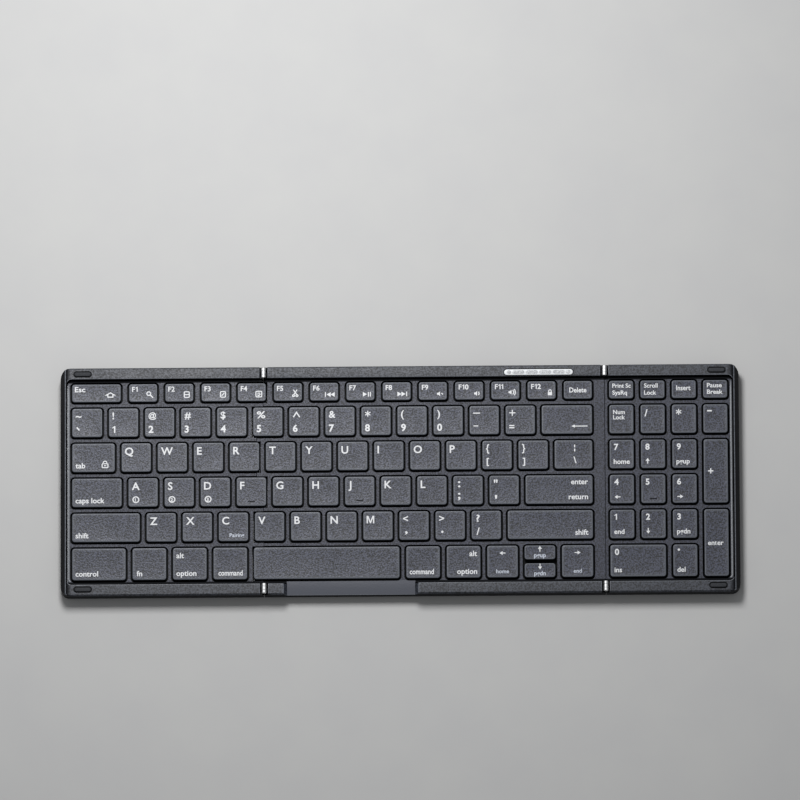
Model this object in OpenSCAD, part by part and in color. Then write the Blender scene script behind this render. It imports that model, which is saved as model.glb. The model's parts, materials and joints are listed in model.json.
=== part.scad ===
// Folding wireless keyboard with number pad, three sections, lying open and flat.
// X runs along the keys, Y towards the function row, Z up. Sizes are in mm.
// The origin is on the desk, under the middle of the open keyboard.

/* [Key layout] */
// Distance from one letter key to the next
key_pitch = 17.96; // [15:0.01:21.6]
// Gap between neighbouring caps
cap_gap = 2.7; // [2.3:0.05:3.3]
// Width of the main block, in key pitches
block_units = 14.602; // [14.4:0.001:14.9]
// First key of the digit row, in key pitches
first_units = 1.02; // [1:0.01:1.2]
// Tab key, in key pitches
tab_units = 1.37; // [1.2:0.01:1.5]
// Caps lock key, in key pitches
caps_units = 1.56; // [1.4:0.01:1.7]
// Left shift key, in key pitches
shift_units = 2.06; // [1.8:0.01:2.3]
// Left control key, in key pitches
control_units = 1.67; // [1.4:0.01:1.8]
// Small modifier keys of the bottom row, in key pitches
modifier_units = 1.12; // [1:0.005:1.2]
// Space bar, in key pitches
space_units = 4.215; // [3.8:0.005:4.5]
// Arrow keys, in key pitches
arrow_units = 1.035; // [0.9:0.005:1.1]
// Depth of the function row caps
function_cap_d = 9.75; // [8:0.05:12]
// Width of the function row caps
function_cap_w = 14.6; // [13:0.1:15]
// Width of the escape cap
escape_w = 24.9; // [20:0.1:28]
// Gap between the escape cap and the first function cap
escape_gap = 3.5; // [2.7:0.1:4.5]
// Depth of the bottom row caps
bottom_cap_d = 16.9; // [15:0.1:20]
// Gap between the up and down arrow caps
half_key_gap = 1.4; // [1:0.1:2]
// Distance from one number pad key to the next
pad_pitch = 15.6; // [14:0.01:18.8]
// Gap between number pad caps
pad_gap = 2.97; // [2.4:0.01:3.4]

/* [Key caps] */
// Height of a cap from its skirt to its top
cap_h = 1.9; // [1.5:0.1:2.4]
// Top of the caps above the key frame
cap_rise = 1.1; // [0.8:0.05:1.3]
// Key travel
travel = 1.4; // [1:0.1:1.8]
// Room left under a cap at the end of its travel
press_clear = 0.1; // [0.05:0.05:0.4]
// Corner radius of a cap
cap_r = 1.5; // [0.8:0.1:2]
// How far each cap side leans in towards the top
cap_lean = 0.3; // [0.1:0.05:0.5]
// Side wall of a cap
cap_wall = 0.9; // [0.7:0.05:1.2]
// Top wall of a cap
cap_top = 0.8; // [0.6:0.05:1]
// Bevel along the top edges of a cap
cap_edge = 0.25; // [0.1:0.05:0.4]
// Length of the homing bars
homing_l = 3.6; // [2:0.1:5]

/* [Body] */
// Clearance round each cap in the key frame
cap_clear = 0.7; // [0.5:0.05:0.85]
// Strip of key frame outside the end caps
side_strip = 1.2; // [0.8:0.1:2]
// Strip of key frame in front of and behind the caps
end_strip = 0.85; // [0.5:0.05:1.5]
// Groove between the key frame and the tray
groove = 0.6; // [0.4:0.05:1]
// Flat width of the front and rear rims
rim_w = 5; // [4.2:0.1:8]
// Bevel along the outer edge of the rims
rim_bevel = 0.7; // [0.3:0.05:1.2]
// Flat width of the side walls
side_top = 0.6; // [0.5:0.1:2]
// Width of the slope on the outside of the side walls
side_slope = 2.3; // [1:0.1:3]
// Height of the slope on the outside of the side walls
side_drop = 2.6; // [1:0.1:4]
// Corner radius of the body
corner_r = 5; // [3:0.1:8]
// Height of the feet under the body
foot_h = 0.6; // [0.4:0.1:1.2]
// Floor of the trays
floor_t = 0.8; // [0.7:0.05:1.5]
// Room under the key plates for battery and board
bay_h = 1.6; // [1.5:0.1:3]
// Steel key plate
plate_t = 0.4; // [0.3:0.05:0.8]
// Membrane
membrane_t = 0.2; // [0.15:0.05:0.4]
// Rim above the key tops
rim_rise = 1; // [0.6:0.1:2]

/* [Fold] */
// Key frame from the main block to the right fold
fold_margin = 5.96; // [3:0.01:8]
// First number pad cap to the right fold
pad_margin = 2; // [1.6:0.05:5]
// Gap between the two wings when folded in
wing_gap = 1.9; // [0.8:0.1:5]
// Gap between neighbouring sections along the seams
seam_gap = 0.3; // [0.2:0.05:0.4]
// Wall of the trays along the seams
seam_wall = 0.8; // [0.6:0.1:1.2]
// Hinge barrel diameter
barrel_d = 2.2; // [1.8:0.1:3]
// Hinge pin diameter
pin_d = 1; // [0.8:0.05:1.4]
// Running clearance of the pin in its barrel
pin_clear = 0.05; // [0.02:0.01:0.08]
// Half width of the hinge notch in the rims
notch_w = 2; // [1.8:0.1:3]
// Floor of the hinge notch below the pin's axis
leaf_drop = 1.7; // [1.6:0.1:2.5]
// Gap between the rims when folded
fold_gap = 0.4; // [0.4:0.05:1]

/* [Fittings] */
// Length of the bumper pads on the rims
bumper_l = 9.1; // [6:0.1:14]
// Width of the bumper pads
bumper_w = 3; // [2:0.1:4]
// Bumper pad centres in from the body ends
bumper_in = 11; // [8:0.1:25]
// Bumper height above the rim
bumper_rise = 0.35; // [0.1:0.05:0.35]
// Length of the indicator window
window_l = 34.9; // [20:0.1:40]
// Width of the indicator window
window_w = 3.6; // [2:0.1:4]
// Indicator window centre, left of the right fold
window_in = 32.8; // [25:0.1:60]
// Length of the finger notch in the front rim
finger_l = 63.8; // [30:0.1:80]
// Finger notch centre, right of the left fold
finger_in = 43.2; // [40:0.1:60]
// Width of the sloping ends of the finger notch
finger_slope = 1.7; // [1:0.1:3]
// Length of the rubber feet
foot_l = 14; // [8:0.5:20]
// Width of the rubber feet
foot_w = 3.6; // [2:0.1:5]
// Foot centres in from the section ends
foot_in = 13; // [10:0.5:20]
// Screw head diameter
screw_head_d = 2.6; // [2:0.1:3]
// Screw shank diameter
screw_d = 1.4; // [1:0.1:1.6]
// Battery size along X
battery_l = 62; // [40:1:80]
// Battery size along Y
battery_w = 36; // [20:1:38]
// Controller board size along X
board_l = 42; // [30:1:44]
// Controller board size along Y
board_w = 17; // [10:0.5:18]
// Charging socket centre, left of the right fold
socket_in = 9.6; // [8:0.1:20]
// Ribbon cable width
ribbon_w = 12; // [6:0.5:13]

/* [Hidden] */
$fn = 48;
// Overlap of pieces that join, and how far a cut runs past a face
e = 0.01;
past = 1;

// Heights
floor_z = foot_h + floor_t;
plate_z = floor_z + bay_h;
membrane_z = plate_z + plate_t;
frame_z = membrane_z + membrane_t;
frame_t = cap_h - cap_rise + travel + press_clear;
web_z = frame_z + frame_t;
cap_z = web_z + cap_rise - cap_h;
ceiling_z = cap_z + cap_h - cap_top;
rim_z = cap_z + cap_h + rim_rise;
axis_z = rim_z + fold_gap / 2;
// the seam walls end below the key plates, and the ribbon cables cross over them
seam_wall_drop = 0.3;
seam_wall_z = plate_z - seam_wall_drop;

// Layout along X: [left edge, width] of each cap in a row
cap_w = key_pitch - cap_gap;
block_w = block_units * key_pitch - cap_gap;
pad_cap_w = pad_pitch - pad_gap;
pad_w = 3 * pad_pitch + pad_cap_w;
side_w = cap_clear + side_strip + groove + side_top + side_slope;
body_l = 2 * side_w + block_w + fold_margin + pad_margin + pad_w;
key_x = -body_l / 2 + side_w;
block_x = key_x + block_w;
fold_right = block_x + fold_margin;
fold_left = fold_right - (body_l + wing_gap) / 2;
pad_x = fold_right + pad_margin;
function_x = key_x + escape_w + escape_gap;
function_pitch = (block_x - function_cap_w - function_x) / 12;

function run(x, n, pitch, w) = [for (j = [0:n - 1]) [x + j * pitch, w]];
function fill_to_end(x) = [[x, block_x - x]];
function lead_row(units, n) =
    let (x = key_x + units * key_pitch)
    concat([[key_x, units * key_pitch - cap_gap]], run(x, n, key_pitch, cap_w),
        fill_to_end(x + n * key_pitch));
bottom_units = [control_units, modifier_units, modifier_units, modifier_units,
    space_units, modifier_units, modifier_units, arrow_units, arrow_units];
function units_before(j) = j == 0 ? 0 : units_before(j - 1) + bottom_units[j - 1];
bottom_row = concat(
    [for (j = [0:8]) [key_x + units_before(j) * key_pitch,
        bottom_units[j] * key_pitch - cap_gap]],
    fill_to_end(key_x + units_before(9) * key_pitch));
rows = [
    concat([[key_x, escape_w]], run(function_x, 13, function_pitch, function_cap_w)),
    lead_row(first_units, 12),
    lead_row(tab_units, 12),
    lead_row(caps_units, 11),
    lead_row(shift_units, 10),
    bottom_row];

// Layout along Y, row 0 is the function row
function row_d(i) = i == 0 ? function_cap_d : i == 5 ? bottom_cap_d : cap_w;
keys_d = function_cap_d + 4 * cap_w + bottom_cap_d + 5 * cap_gap;
function row_y(i) = i == 5 ? -keys_d / 2 : row_y(i + 1) + row_d(i + 1) + cap_gap;
end_w = cap_clear + end_strip + groove + rim_w + rim_bevel;
body_d = keys_d + 2 * end_w;
rim_in = body_d / 2 - rim_bevel - rim_w;
rim_y = rim_in + rim_w / 2;

// The stepped seam between the left wing and the middle
// In each row it follows the key gap nearest the fold line. The web there goes to
// the middle section when it lies right of the fold, otherwise to the wing.
web_bias = 2;
cross_inset = 2;
function gap_x(i, j) = (rows[i][j][0] + rows[i][j][1] + rows[i][j + 1][0]) / 2;
function seam_key(i) =
    let (d = [for (j = [0:len(rows[i]) - 2]) abs(gap_x(i, j) - fold_left)],
        least = min(d))
    [for (j = [0:len(d) - 1]) if (d[j] == least) j][0];
function web_on_middle(i) = gap_x(i, seam_key(i)) > fold_left - web_bias;
function seam_x(i) = let (j = seam_key(i)) web_on_middle(i)
    ? rows[i][j][0] + rows[i][j][1] + cap_clear / 2
    : rows[i][j + 1][0] - cap_clear / 2;
function cross_x(i) =
    let (m = [for (k = [i, i + 1]) if (web_on_middle(k)) seam_x(k)],
        w = [for (k = [i, i + 1]) if (!web_on_middle(k)) seam_x(k)],
        high = len(m) > 0 ? min(m) - cross_inset : fold_left,
        low = len(w) > 0 ? max(w) : -body_l)
    max(low, min(fold_left, high));
seam_xs = concat([fold_left], [for (i = [0:5]) each i < 5
    ? [seam_x(i), cross_x(i)] : [seam_x(i)]], [fold_left]);
seam_ys = [for (i = [0:5]) each [row_y(i) + row_d(i) + cap_clear / 2,
    row_y(i) - cap_clear / 2]];
// Seam from rear to front, moved square to itself by o, which is + towards the middle
function seam(o, y) = concat([[seam_xs[0] + o, y]],
    [for (k = [0:11]) each
        let (yk = seam_ys[k] - o * sign(seam_xs[k] - seam_xs[k + 1]))
        [[seam_xs[k] + o, yk], [seam_xs[k + 1] + o, yk]]],
    [[seam_xs[12] + o, -y]]);
function reversed(v) = [for (i = [len(v) - 1:-1:0]) v[i]];
function arc(x, y, r, a, n = 5) =
    [for (i = [0:n]) [x + r * cos(a + 90 * i / n), y + r * sin(a + 90 * i / n)]];

// Keys of each section: [x, y, width, depth]
function caps(i, from, to) = [for (j = [from:to])
    [rows[i][j][0], row_y(i), rows[i][j][1], row_d(i)]];
function wing_caps(i, from = 0) = caps(i, from, seam_key(i));
function last(i) = len(rows[i]) - 1;
half_d = (bottom_cap_d - half_key_gap) / 2;
up_key = [rows[5][8][0], row_y(5) + half_d + half_key_gap, rows[5][8][1], half_d];
down_key = [rows[5][8][0], row_y(5), rows[5][8][1], half_d];
arrow_caps = concat(caps(5, seam_key(5) + 2, 7), [up_key, down_key], caps(5, 9, 9));
function pad(col, row, cols = 1, over = 0) = [pad_x + col * pad_pitch, row_y(row),
    (cols - 1) * pad_pitch + pad_cap_w,
    over == 0 ? row_d(row) : row_y(row - over) + row_d(row - over) - row_y(row)];
pad_rows = [[for (c = [0:3]) pad(c, 0)], [for (c = [0:3]) pad(c, 1)],
    [pad(0, 2), pad(1, 2), pad(2, 2), pad(3, 3, 1, 1)],
    [for (c = [0:2]) pad(c, 3)], [pad(0, 4), pad(1, 4), pad(2, 4), pad(3, 5, 1, 1)],
    [pad(0, 5, 2), pad(2, 5)]];
section_caps = [[for (i = [0:5]) each wing_caps(i)],
    concat([for (i = [0:4]) each caps(i, seam_key(i) + 1, last(i))],
        caps(5, seam_key(5) + 1, seam_key(5) + 1), arrow_caps),
    [for (r = pad_rows) each r]];

// Plans
module rounded(x, y, w, d, r, n = 4) {
    polygon(concat(arc(x + w - r, y + d - r, r, 0, n), arc(x + r, y + d - r, r, 90, n),
        arc(x + r, y + r, r, 180, n), arc(x + w - r, y + r, r, 270, n)));
}
module slot(l, w) {
    square([l - w, w], center = true);
    for (s = [-1, 1]) translate([s * (l - w) / 2, 0]) circle(d = w);
}
// Outline of a section, drawn in from the body sides, its ends and the seams
module plan(sec, side_in, end_in, seam_in, r) {
    x = body_l / 2 - side_in;
    y = body_d / 2 - end_in;
    if (sec == 0)
        polygon(concat(arc(r - x, y - r, r, 90), arc(r - x, r - y, r, 180),
            reversed(seam(-seam_in, y))));
    if (sec == 1)
        polygon(concat(seam(seam_in, y),
            [[fold_right - seam_in, -y], [fold_right - seam_in, y]]));
    if (sec == 2)
        polygon(concat([[fold_right + seam_in, y], [fold_right + seam_in, -y]],
            arc(x - r, r - y, r, 270), arc(x - r, y - r, r, 0)));
}
tray_side = side_slope + side_top;
tray_end = rim_bevel + rim_w;
tray_r = corner_r - side_slope;

// Fastening points: on the webs behind row 4 and behind row 0
screw_rows = [row_y(0) - cap_gap / 2, row_y(4) - cap_gap / 2];
screw_cols = [[key_x + key_pitch - cap_gap / 2, key_x + 4 * key_pitch - cap_gap / 2],
    [key_x + 7 * key_pitch - cap_gap / 2, key_x + 12 * key_pitch - cap_gap / 2],
    [pad_x + pad_pitch - pad_gap / 2, pad_x + 3 * pad_pitch - pad_gap / 2]];
boss_wall = 0.8;
boss_gap = 0.2;
boss_d = screw_d + 2 * boss_wall;
module at_screws(sec) {
    for (x = screw_cols[sec], y = screw_rows) translate([x, y]) children();
}
section_ends = [[-body_l / 2, fold_left], [fold_left, fold_right],
    [fold_right, body_l / 2]];
module at_feet(sec) {
    for (x = [section_ends[sec][0] + foot_in, section_ends[sec][1] - foot_in],
        y = [-rim_y, rim_y]) translate([x, y]) children();
}
module at_bumpers(sec) {
    x = sec == 0 ? bumper_in - body_l / 2 : body_l / 2 - bumper_in;
    for (y = [-rim_y, rim_y]) translate([x, y]) children();
}

// Fittings of the trays
seat_gap = 0.1;
foot_seat = 0.3;
bumper_seat = 0.4;
bumper_gap = 0.15;
screw_seat = 0.45;
screw_head_h = 0.4;
rib_w = 1;
window_t = 1;
window_back = 0.45;
window_x = fold_right - window_in;
window_y = rim_y - window_back;

// The finger notch, and the tongue of the key frame that lies in it
finger_x = fold_left + finger_in;
tongue_gap = 0.05;
tongue_drop = 0.5;
tongue_lift = 0.9;
tongue_z = frame_z + tongue_lift;

// Inside the middle section: battery on the left, board behind on the right. The
// socket is a standard one, 8.94 by 3.26 mm outside.
bay_gap = 0.5;
battery_from_seam = 21.5;
battery_x = fold_left + battery_from_seam + battery_l / 2;
battery_back = 3;
battery_y = row_y(3) + battery_back;
battery_r = 2.5;
board_t = 0.8;
board_from_fold = 3;
board_from_rim = 0.3;
board_x = fold_right - board_from_fold - board_l / 2;
board_y = rim_in - board_from_rim - board_w / 2;
socket_w = 8.94;
socket_h = 3.26;
socket_wall = 0.3;
socket_lift = 0.35;
socket_gap = 0.15;
socket_x = fold_right - socket_in;
socket_z = floor_z + socket_lift + socket_h / 2;
ribbon_t = 0.2;
ribbon_l = 18;

module ribs(sec) {
    difference() {
        for (i = [0:4]) translate([-body_l / 2, row_y(i) - (cap_gap + rib_w) / 2])
            square([body_l, rib_w]);
        at_screws(sec) circle(d = boss_d + 2 * boss_gap);
        if (sec == 1) {
            translate([battery_x, battery_y])
                square([battery_l + 2 * bay_gap, battery_w + 2 * bay_gap], center = true);
            translate([board_x, board_y])
                square([board_l + 2 * bay_gap, board_w + 2 * bay_gap], center = true);
        }
    }
}

// Trays: floor, front and rear rims, outer side walls and low seam walls
module body_form(sec) {
    edge_r = 1.6;
    y = body_d / 2;
    x = body_l / 2;
    intersection() {
        translate([0, 0, foot_h]) linear_extrude(rim_z - foot_h)
            plan(sec, 0, 0, seam_gap / 2, corner_r);
        // bevelled rims and rounded lower edges, seen from the side
        rotate([90, 0, 90]) linear_extrude(body_l + 2 * past, center = true)
            polygon(concat(arc(edge_r - y, foot_h + edge_r, edge_r, 180, 3),
                arc(y - edge_r, foot_h + edge_r, edge_r, 270, 3),
                [[y, rim_z - rim_bevel], [y - rim_bevel, rim_z],
                [rim_bevel - y, rim_z], [-y, rim_z - rim_bevel]]));
        // sloping side walls, seen from the front
        if (sec != 1) rotate([90, 0, 0]) linear_extrude(body_d + 2 * past, center = true)
            polygon(concat(arc(edge_r - x, foot_h + edge_r, edge_r, 180, 3),
                arc(x - edge_r, foot_h + edge_r, edge_r, 270, 3),
                [[x, rim_z - side_drop], [x - side_slope, rim_z],
                [side_slope - x, rim_z], [-x, rim_z - side_drop]]));
    }
}
module hinge_notch(x) {
    for (s = [-1, 1]) translate([x - notch_w, s > 0 ? rim_in - e : -body_d / 2 - past,
        axis_z - leaf_drop]) cube([2 * notch_w, tray_end + past + e, rim_z]);
}
module tray(sec) {
    difference() {
        body_form(sec);
        translate([0, 0, floor_z]) linear_extrude(seam_wall_z - floor_z) difference() {
            plan(sec, tray_side, tray_end, seam_gap / 2 + seam_wall, tray_r);
            ribs(sec);
        }
        translate([0, 0, seam_wall_z]) linear_extrude(plate_z - seam_wall_z)
            difference() {
                plan(sec, tray_side, tray_end, -seam_gap, tray_r);
                ribs(sec);
            }
        translate([0, 0, plate_z]) linear_extrude(rim_z)
            plan(sec, tray_side, tray_end, -seam_gap, tray_r);
        if (sec < 2) hinge_notch(fold_left);
        if (sec > 0) hinge_notch(fold_right);
        at_feet(sec) linear_extrude(foot_h + foot_seat)
            slot(foot_l + 2 * seat_gap, foot_w + 2 * seat_gap);
        at_screws(sec) {
            cylinder(d = screw_head_d + 3 * seat_gap, h = foot_h + screw_seat);
            cylinder(d = screw_d + 2 * seat_gap, h = floor_z + past);
        }
        if (sec != 1) at_bumpers(sec) translate([0, 0, rim_z - bumper_seat])
            linear_extrude(rim_z)
                slot(bumper_l + 2 * bumper_gap, bumper_w + 2 * bumper_gap);
        if (sec == 1) {
            translate([window_x, window_y, rim_z - window_t]) linear_extrude(rim_z)
                slot(window_l + seat_gap, window_w + seat_gap);
            // finger notch with sloping ends, down to the seat of the frame's tongue
            translate([finger_x, -rim_in + e, 0]) rotate([90, 0, 0])
                linear_extrude(tray_end + past) polygon([
                    [-finger_l / 2, tongue_z], [finger_l / 2, tongue_z],
                    [finger_l / 2, web_z - tongue_drop],
                    [finger_l / 2 + finger_slope, rim_z + e],
                    [-finger_l / 2 - finger_slope, rim_z + e],
                    [-finger_l / 2, web_z - tongue_drop]]);
            // pocket for the charging socket, open to the rear
            translate([socket_x, body_d / 2 + past, socket_z]) rotate([90, 0, 0])
                linear_extrude(tray_end + past + e)
                    slot(socket_w + 2 * socket_gap, socket_h + 2 * socket_gap);
        }
    }
}

// Key frames: the webs round the caps, with screw bosses below
module openings(sec) {
    for (k = section_caps[sec]) rounded(k[0] - cap_clear, k[1] - cap_clear,
        k[2] + 2 * cap_clear, k[3] + 2 * cap_clear, cap_r + cap_clear);
    // caps beside the seam have no web there
    if (sec < 2) for (i = [0:5]) if (web_on_middle(i) == (sec == 0)) {
        k = rows[i][seam_key(i) + sec];
        translate([k[0] + (sec == 0 ? k[1] / 2 : -cap_clear), row_y(i) - cap_clear])
            square([k[1] / 2 + cap_clear, row_d(i) + 2 * cap_clear]);
    }
    // up and down arrows share one opening
    if (sec == 1) translate([up_key[0] - cap_clear, row_y(5) + half_d / 2])
        square([up_key[2] + 2 * cap_clear, half_d + half_key_gap]);
}
module key_frame(sec) {
    frame_side = tray_side + groove;
    frame_end = tray_end + groove;
    difference() {
        union() {
            translate([0, 0, frame_z]) linear_extrude(frame_t) difference() {
                plan(sec, frame_side, frame_end, seam_gap / 2, tray_r - groove);
                openings(sec);
            }
            at_screws(sec) translate([0, 0, floor_z + 2 * e])
                cylinder(d = boss_d, h = frame_z - floor_z);
            if (sec == 1) translate([finger_x - finger_l / 2 + tongue_gap, 0, 0])
                rotate([90, 0, 90]) linear_extrude(finger_l - 2 * tongue_gap) polygon([
                    [-keys_d / 2 - cap_clear - end_strip / 2, tongue_z],
                    [-keys_d / 2 - cap_clear - end_strip / 2, web_z], [-rim_in, web_z],
                    [-body_d / 2 + 2 * tongue_gap, web_z - tongue_drop],
                    [-body_d / 2 + 2 * tongue_gap, tongue_z]]);
        }
        at_screws(sec) cylinder(d = screw_d + seat_gap, h = frame_z - seat_gap);
    }
}

// Key plates and membranes
plate_gap = 0.4;
membrane_gap = 0.6;
// Caps wider than this share of a key get two pairs of links
wide_units = 1.9;
module sheet_plan(sec, gap) {
    difference() {
        plan(sec, tray_side + gap, tray_end + gap, seam_gap / 2 + gap, tray_r - gap);
        at_screws(sec) circle(d = boss_d + 2 * boss_gap);
    }
}
link_play = 0.3;
link_bar = 1;
link_t = 0.7;
full_link_l = 8.6;
full_link_w = 10.1;
full_dome_d = 5;
function units_of(k) = k[2] > wide_units * key_pitch ? [-k[2] / 4, k[2] / 4] : [0];
function link_l(k) = min(full_link_l, k[3] - 2 * (cap_wall + link_play));
link_w = min(full_link_w, pad_cap_w - 2 * (cap_wall + link_play));
function dome_d(k) = min(full_dome_d, link_l(k) - 2 * link_bar - link_play);
window_cut = [3, 0.8];
module key_plate(sec) {
    translate([0, 0, plate_z]) linear_extrude(plate_t) difference() {
        sheet_plan(sec, plate_gap);
        // stamped windows under the ends of the links
        for (k = section_caps[sec], u = units_of(k), s = [-1, 1])
            translate([k[0] + k[2] / 2 + u, k[1] + k[3] / 2
                + s * (link_l(k) - window_cut[1]) / 2]) square(window_cut, center = true);
    }
}
module membrane(sec) {
    translate([0, 0, membrane_z]) linear_extrude(membrane_t) sheet_plan(sec, membrane_gap);
}

// Switches: a rubber dome and a pair of crossed links under each cap
switch_gap = 0.05;
module domes(sec) {
    h = ceiling_z - frame_z - switch_gap;
    foot_t = 0.3;
    foot_ring = 0.5;
    foot_lip = 0.35;
    skin = 0.3;
    head_h = 0.7;
    head_share = 0.56;
    head_roof = 0.2;
    for (k = section_caps[sec]) {
        r = dome_d(k) / 2;
        head_r = head_share * r;
        roof_z = h - head_h - head_roof;
        translate([k[0] + k[2] / 2, k[1] + k[3] / 2, frame_z]) rotate_extrude()
            polygon([[r - foot_ring, 0], [r, 0], [r, foot_t], [r - foot_lip, foot_t],
                [head_r, h - head_h], [head_r, h], [0, h], [0, roof_z],
                [head_r - skin, roof_z], [r - foot_lip - skin, foot_t]]);
    }
}
module link(w, l) {
    linear_extrude(link_t, center = true) difference() {
        square([w, l], center = true);
        square([w - 2 * link_bar, l - 2 * link_bar], center = true);
    }
}
module scissors(sec) {
    h = ceiling_z - frame_z;
    slack = 0.2;
    inner_w = link_w - 2 * (link_bar + slack);
    pivot_d = 0.5;
    for (k = section_caps[sec], u = units_of(k)) {
        l = link_l(k);
        // the links' corners stay clear of the membrane and of the cap
        a = asin((h - link_t - 2 * switch_gap) / l);
        translate([k[0] + k[2] / 2 + u, k[1] + k[3] / 2, frame_z + h / 2]) {
            rotate([a, 0, 0]) link(link_w, l);
            rotate([-a, 0, 0]) link(inner_w, l);
            for (s = [-1, 1]) translate([s * (inner_w + slack) / 2, 0, 0])
                rotate([0, 90, 0]) cylinder(d = pivot_d, h = link_bar, center = true);
        }
    }
}

// Caps
// Side view of a cap of width w: sides that lean in, and a bevel along the top edge
module cap_profile(w) {
    polygon([[-e, -e], [w + e, -e], [w - cap_lean, cap_h - cap_edge],
        [w - cap_lean - cap_edge, cap_h], [cap_lean + cap_edge, cap_h],
        [cap_lean, cap_h - cap_edge]]);
}
rail_l = 3;
rail_t = 0.6;
rail_in = 0.3;
module key_caps(keys) {
    difference() {
        intersection() {
            translate([0, 0, cap_z]) linear_extrude(cap_h)
                for (k = keys) rounded(k[0], k[1], k[2], k[3], cap_r, 3);
            for (k = keys) translate([k[0], k[1] + k[3] + past, cap_z])
                rotate([90, 0, 0]) linear_extrude(k[3] + 2 * past) cap_profile(k[2]);
            for (k = keys) translate([k[0] - past, k[1], cap_z])
                rotate([90, 0, 90]) linear_extrude(k[2] + 2 * past) cap_profile(k[3]);
        }
        translate([0, 0, cap_z - past]) linear_extrude(cap_h - cap_top + past)
            for (k = keys) rounded(k[0] + cap_wall, k[1] + cap_wall,
                k[2] - 2 * cap_wall, k[3] - 2 * cap_wall, cap_r - cap_wall / 2, 2);
    }
    // rails that the links clip to, where the cap is deep enough
    for (k = keys, u = units_of(k), s = [-1, 1]) {
        rail_y = (link_l(k) + rail_t) / 2 + 2 * seat_gap;
        if (rail_y + rail_t / 2 < k[3] / 2 - cap_wall)
            translate([k[0] + k[2] / 2 + u - rail_l / 2, k[1] + k[3] / 2 + s * rail_y
                - rail_t / 2, cap_z + rail_in]) cube([rail_l, rail_t, cap_h - cap_top]);
    }
}
homing_w = 0.5;
homing_h = 0.2;
homing_in = 2.4;
module homing_bar(k) {
    translate([k[0] + k[2] / 2 - homing_l / 2, k[1] + homing_in,
        cap_z + cap_h - homing_h]) cube([homing_l, homing_w, 2 * homing_h]);
}
// the letter keys under the two forefingers, whichever section they lie in
homing_keys = [4, 7];
module homing_bars(from, to) {
    for (j = homing_keys) if (j >= from && j <= to) homing_bar(caps(3, j, j)[0]);
}

// Hinges: three knuckles on a pin in each rim notch
knuckle_gap = 0.1;
hinge_l = rim_w - 2 * knuckle_gap;
side_knuckle = 1.4;
mid_knuckle = hinge_l - 2 * side_knuckle - 2 * knuckle_gap;
leaf_t = 0.8;
leaf_play = 0.05;
leaf_in = 0.15;
// One knuckle with its leaf, from y0, on the section to the left (-1) or right (1)
module knuckle(x, y0, l, side, bore) {
    translate([x, y0 + l, axis_z]) rotate([90, 0, 0]) linear_extrude(l)
        difference() {
            union() {
                circle(d = barrel_d);
                scale([side, 1]) polygon([[seam_gap / 2, -leaf_drop],
                    [notch_w - leaf_play, -leaf_drop],
                    [notch_w - leaf_play, leaf_t - leaf_drop],
                    [barrel_d / 2 - leaf_play, leaf_in - pin_d / 2],
                    [seam_gap / 2, leaf_in - pin_d / 2]]);
            }
            circle(d = bore);
        }
}
module hinge_ends() { for (s = [0, 1]) mirror([0, s, 0]) children(); }
module wing_knuckles(x, side) {
    hinge_ends() knuckle(x, rim_in + side_knuckle + 2 * knuckle_gap, mid_knuckle,
        side, pin_d + 2 * pin_clear);
}
module middle_knuckles(x, side) {
    hinge_ends() for (y = [0, hinge_l - side_knuckle])
        knuckle(x, rim_in + knuckle_gap + y, side_knuckle, side, pin_d + 2 * e);
}

// Modules, one for each node
module left_bottom_shell() { color("#4a4c52") tray(0); }
module middle_bottom_shell() { color("#4a4c52") tray(1); }
module right_bottom_shell() { color("#4a4c52") tray(2); }
module left_key_frame() { color("#63656b") key_frame(0); }
module middle_key_frame() { color("#63656b") key_frame(1); }
module right_key_frame() { color("#63656b") key_frame(2); }
module left_key_plate() { color("#9a9da3") key_plate(0); }
module middle_key_plate() { color("#9a9da3") key_plate(1); }
module right_key_plate() { color("#9a9da3") key_plate(2); }
module left_membrane() { color("#b8c4c0") membrane(0); }
module middle_membrane() { color("#b8c4c0") membrane(1); }
module right_membrane() { color("#b8c4c0") membrane(2); }
module left_domes() { color("#e6e6e0") domes(0); }
module middle_domes() { color("#e6e6e0") domes(1); }
module right_domes() { color("#e6e6e0") domes(2); }
module left_scissors() { color("#d8d8d8") scissors(0); }
module middle_scissors() { color("#d8d8d8") scissors(1); }
module right_scissors() { color("#d8d8d8") scissors(2); }

module feet(sec) {
    at_feet(sec) linear_extrude(foot_h + foot_seat) slot(foot_l, foot_w);
}
module left_feet() { color("#202022") feet(0); }
module middle_feet() { color("#202022") feet(1); }
module right_feet() { color("#202022") feet(2); }

module bumpers(sec) {
    at_bumpers(sec) translate([0, 0, rim_z - bumper_seat])
        linear_extrude(bumper_seat + bumper_rise) slot(bumper_l, bumper_w);
}
module left_bumpers() { color("#2c2d30") bumpers(0); }
module right_bumpers() { color("#2c2d30") bumpers(2); }

module screws(sec) {
    at_screws(sec) {
        translate([0, 0, foot_h + screw_seat - screw_head_h])
            cylinder(d = screw_head_d, h = screw_head_h);
        translate([0, 0, foot_h + screw_seat - e])
            cylinder(d = screw_d, h = frame_z - seat_gap - foot_h - screw_seat);
    }
}
module left_screws() { color("#8d9096") screws(0); }
module middle_screws() { color("#8d9096") screws(1); }
module right_screws() { color("#8d9096") screws(2); }

module left_hinge_knuckles() { color("#d4d6da") wing_knuckles(fold_left, -1); }
module right_hinge_knuckles() { color("#d4d6da") wing_knuckles(fold_right, 1); }
module middle_hinge_knuckles() {
    color("#d4d6da") {
        middle_knuckles(fold_left, 1);
        middle_knuckles(fold_right, -1);
    }
}
module hinge_pins() {
    color("#b9bcc2") for (x = [fold_left, fold_right]) hinge_ends()
        translate([x, rim_in + knuckle_gap + hinge_l, axis_z]) rotate([90, 0, 0])
            cylinder(d = pin_d, h = hinge_l);
}

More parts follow.
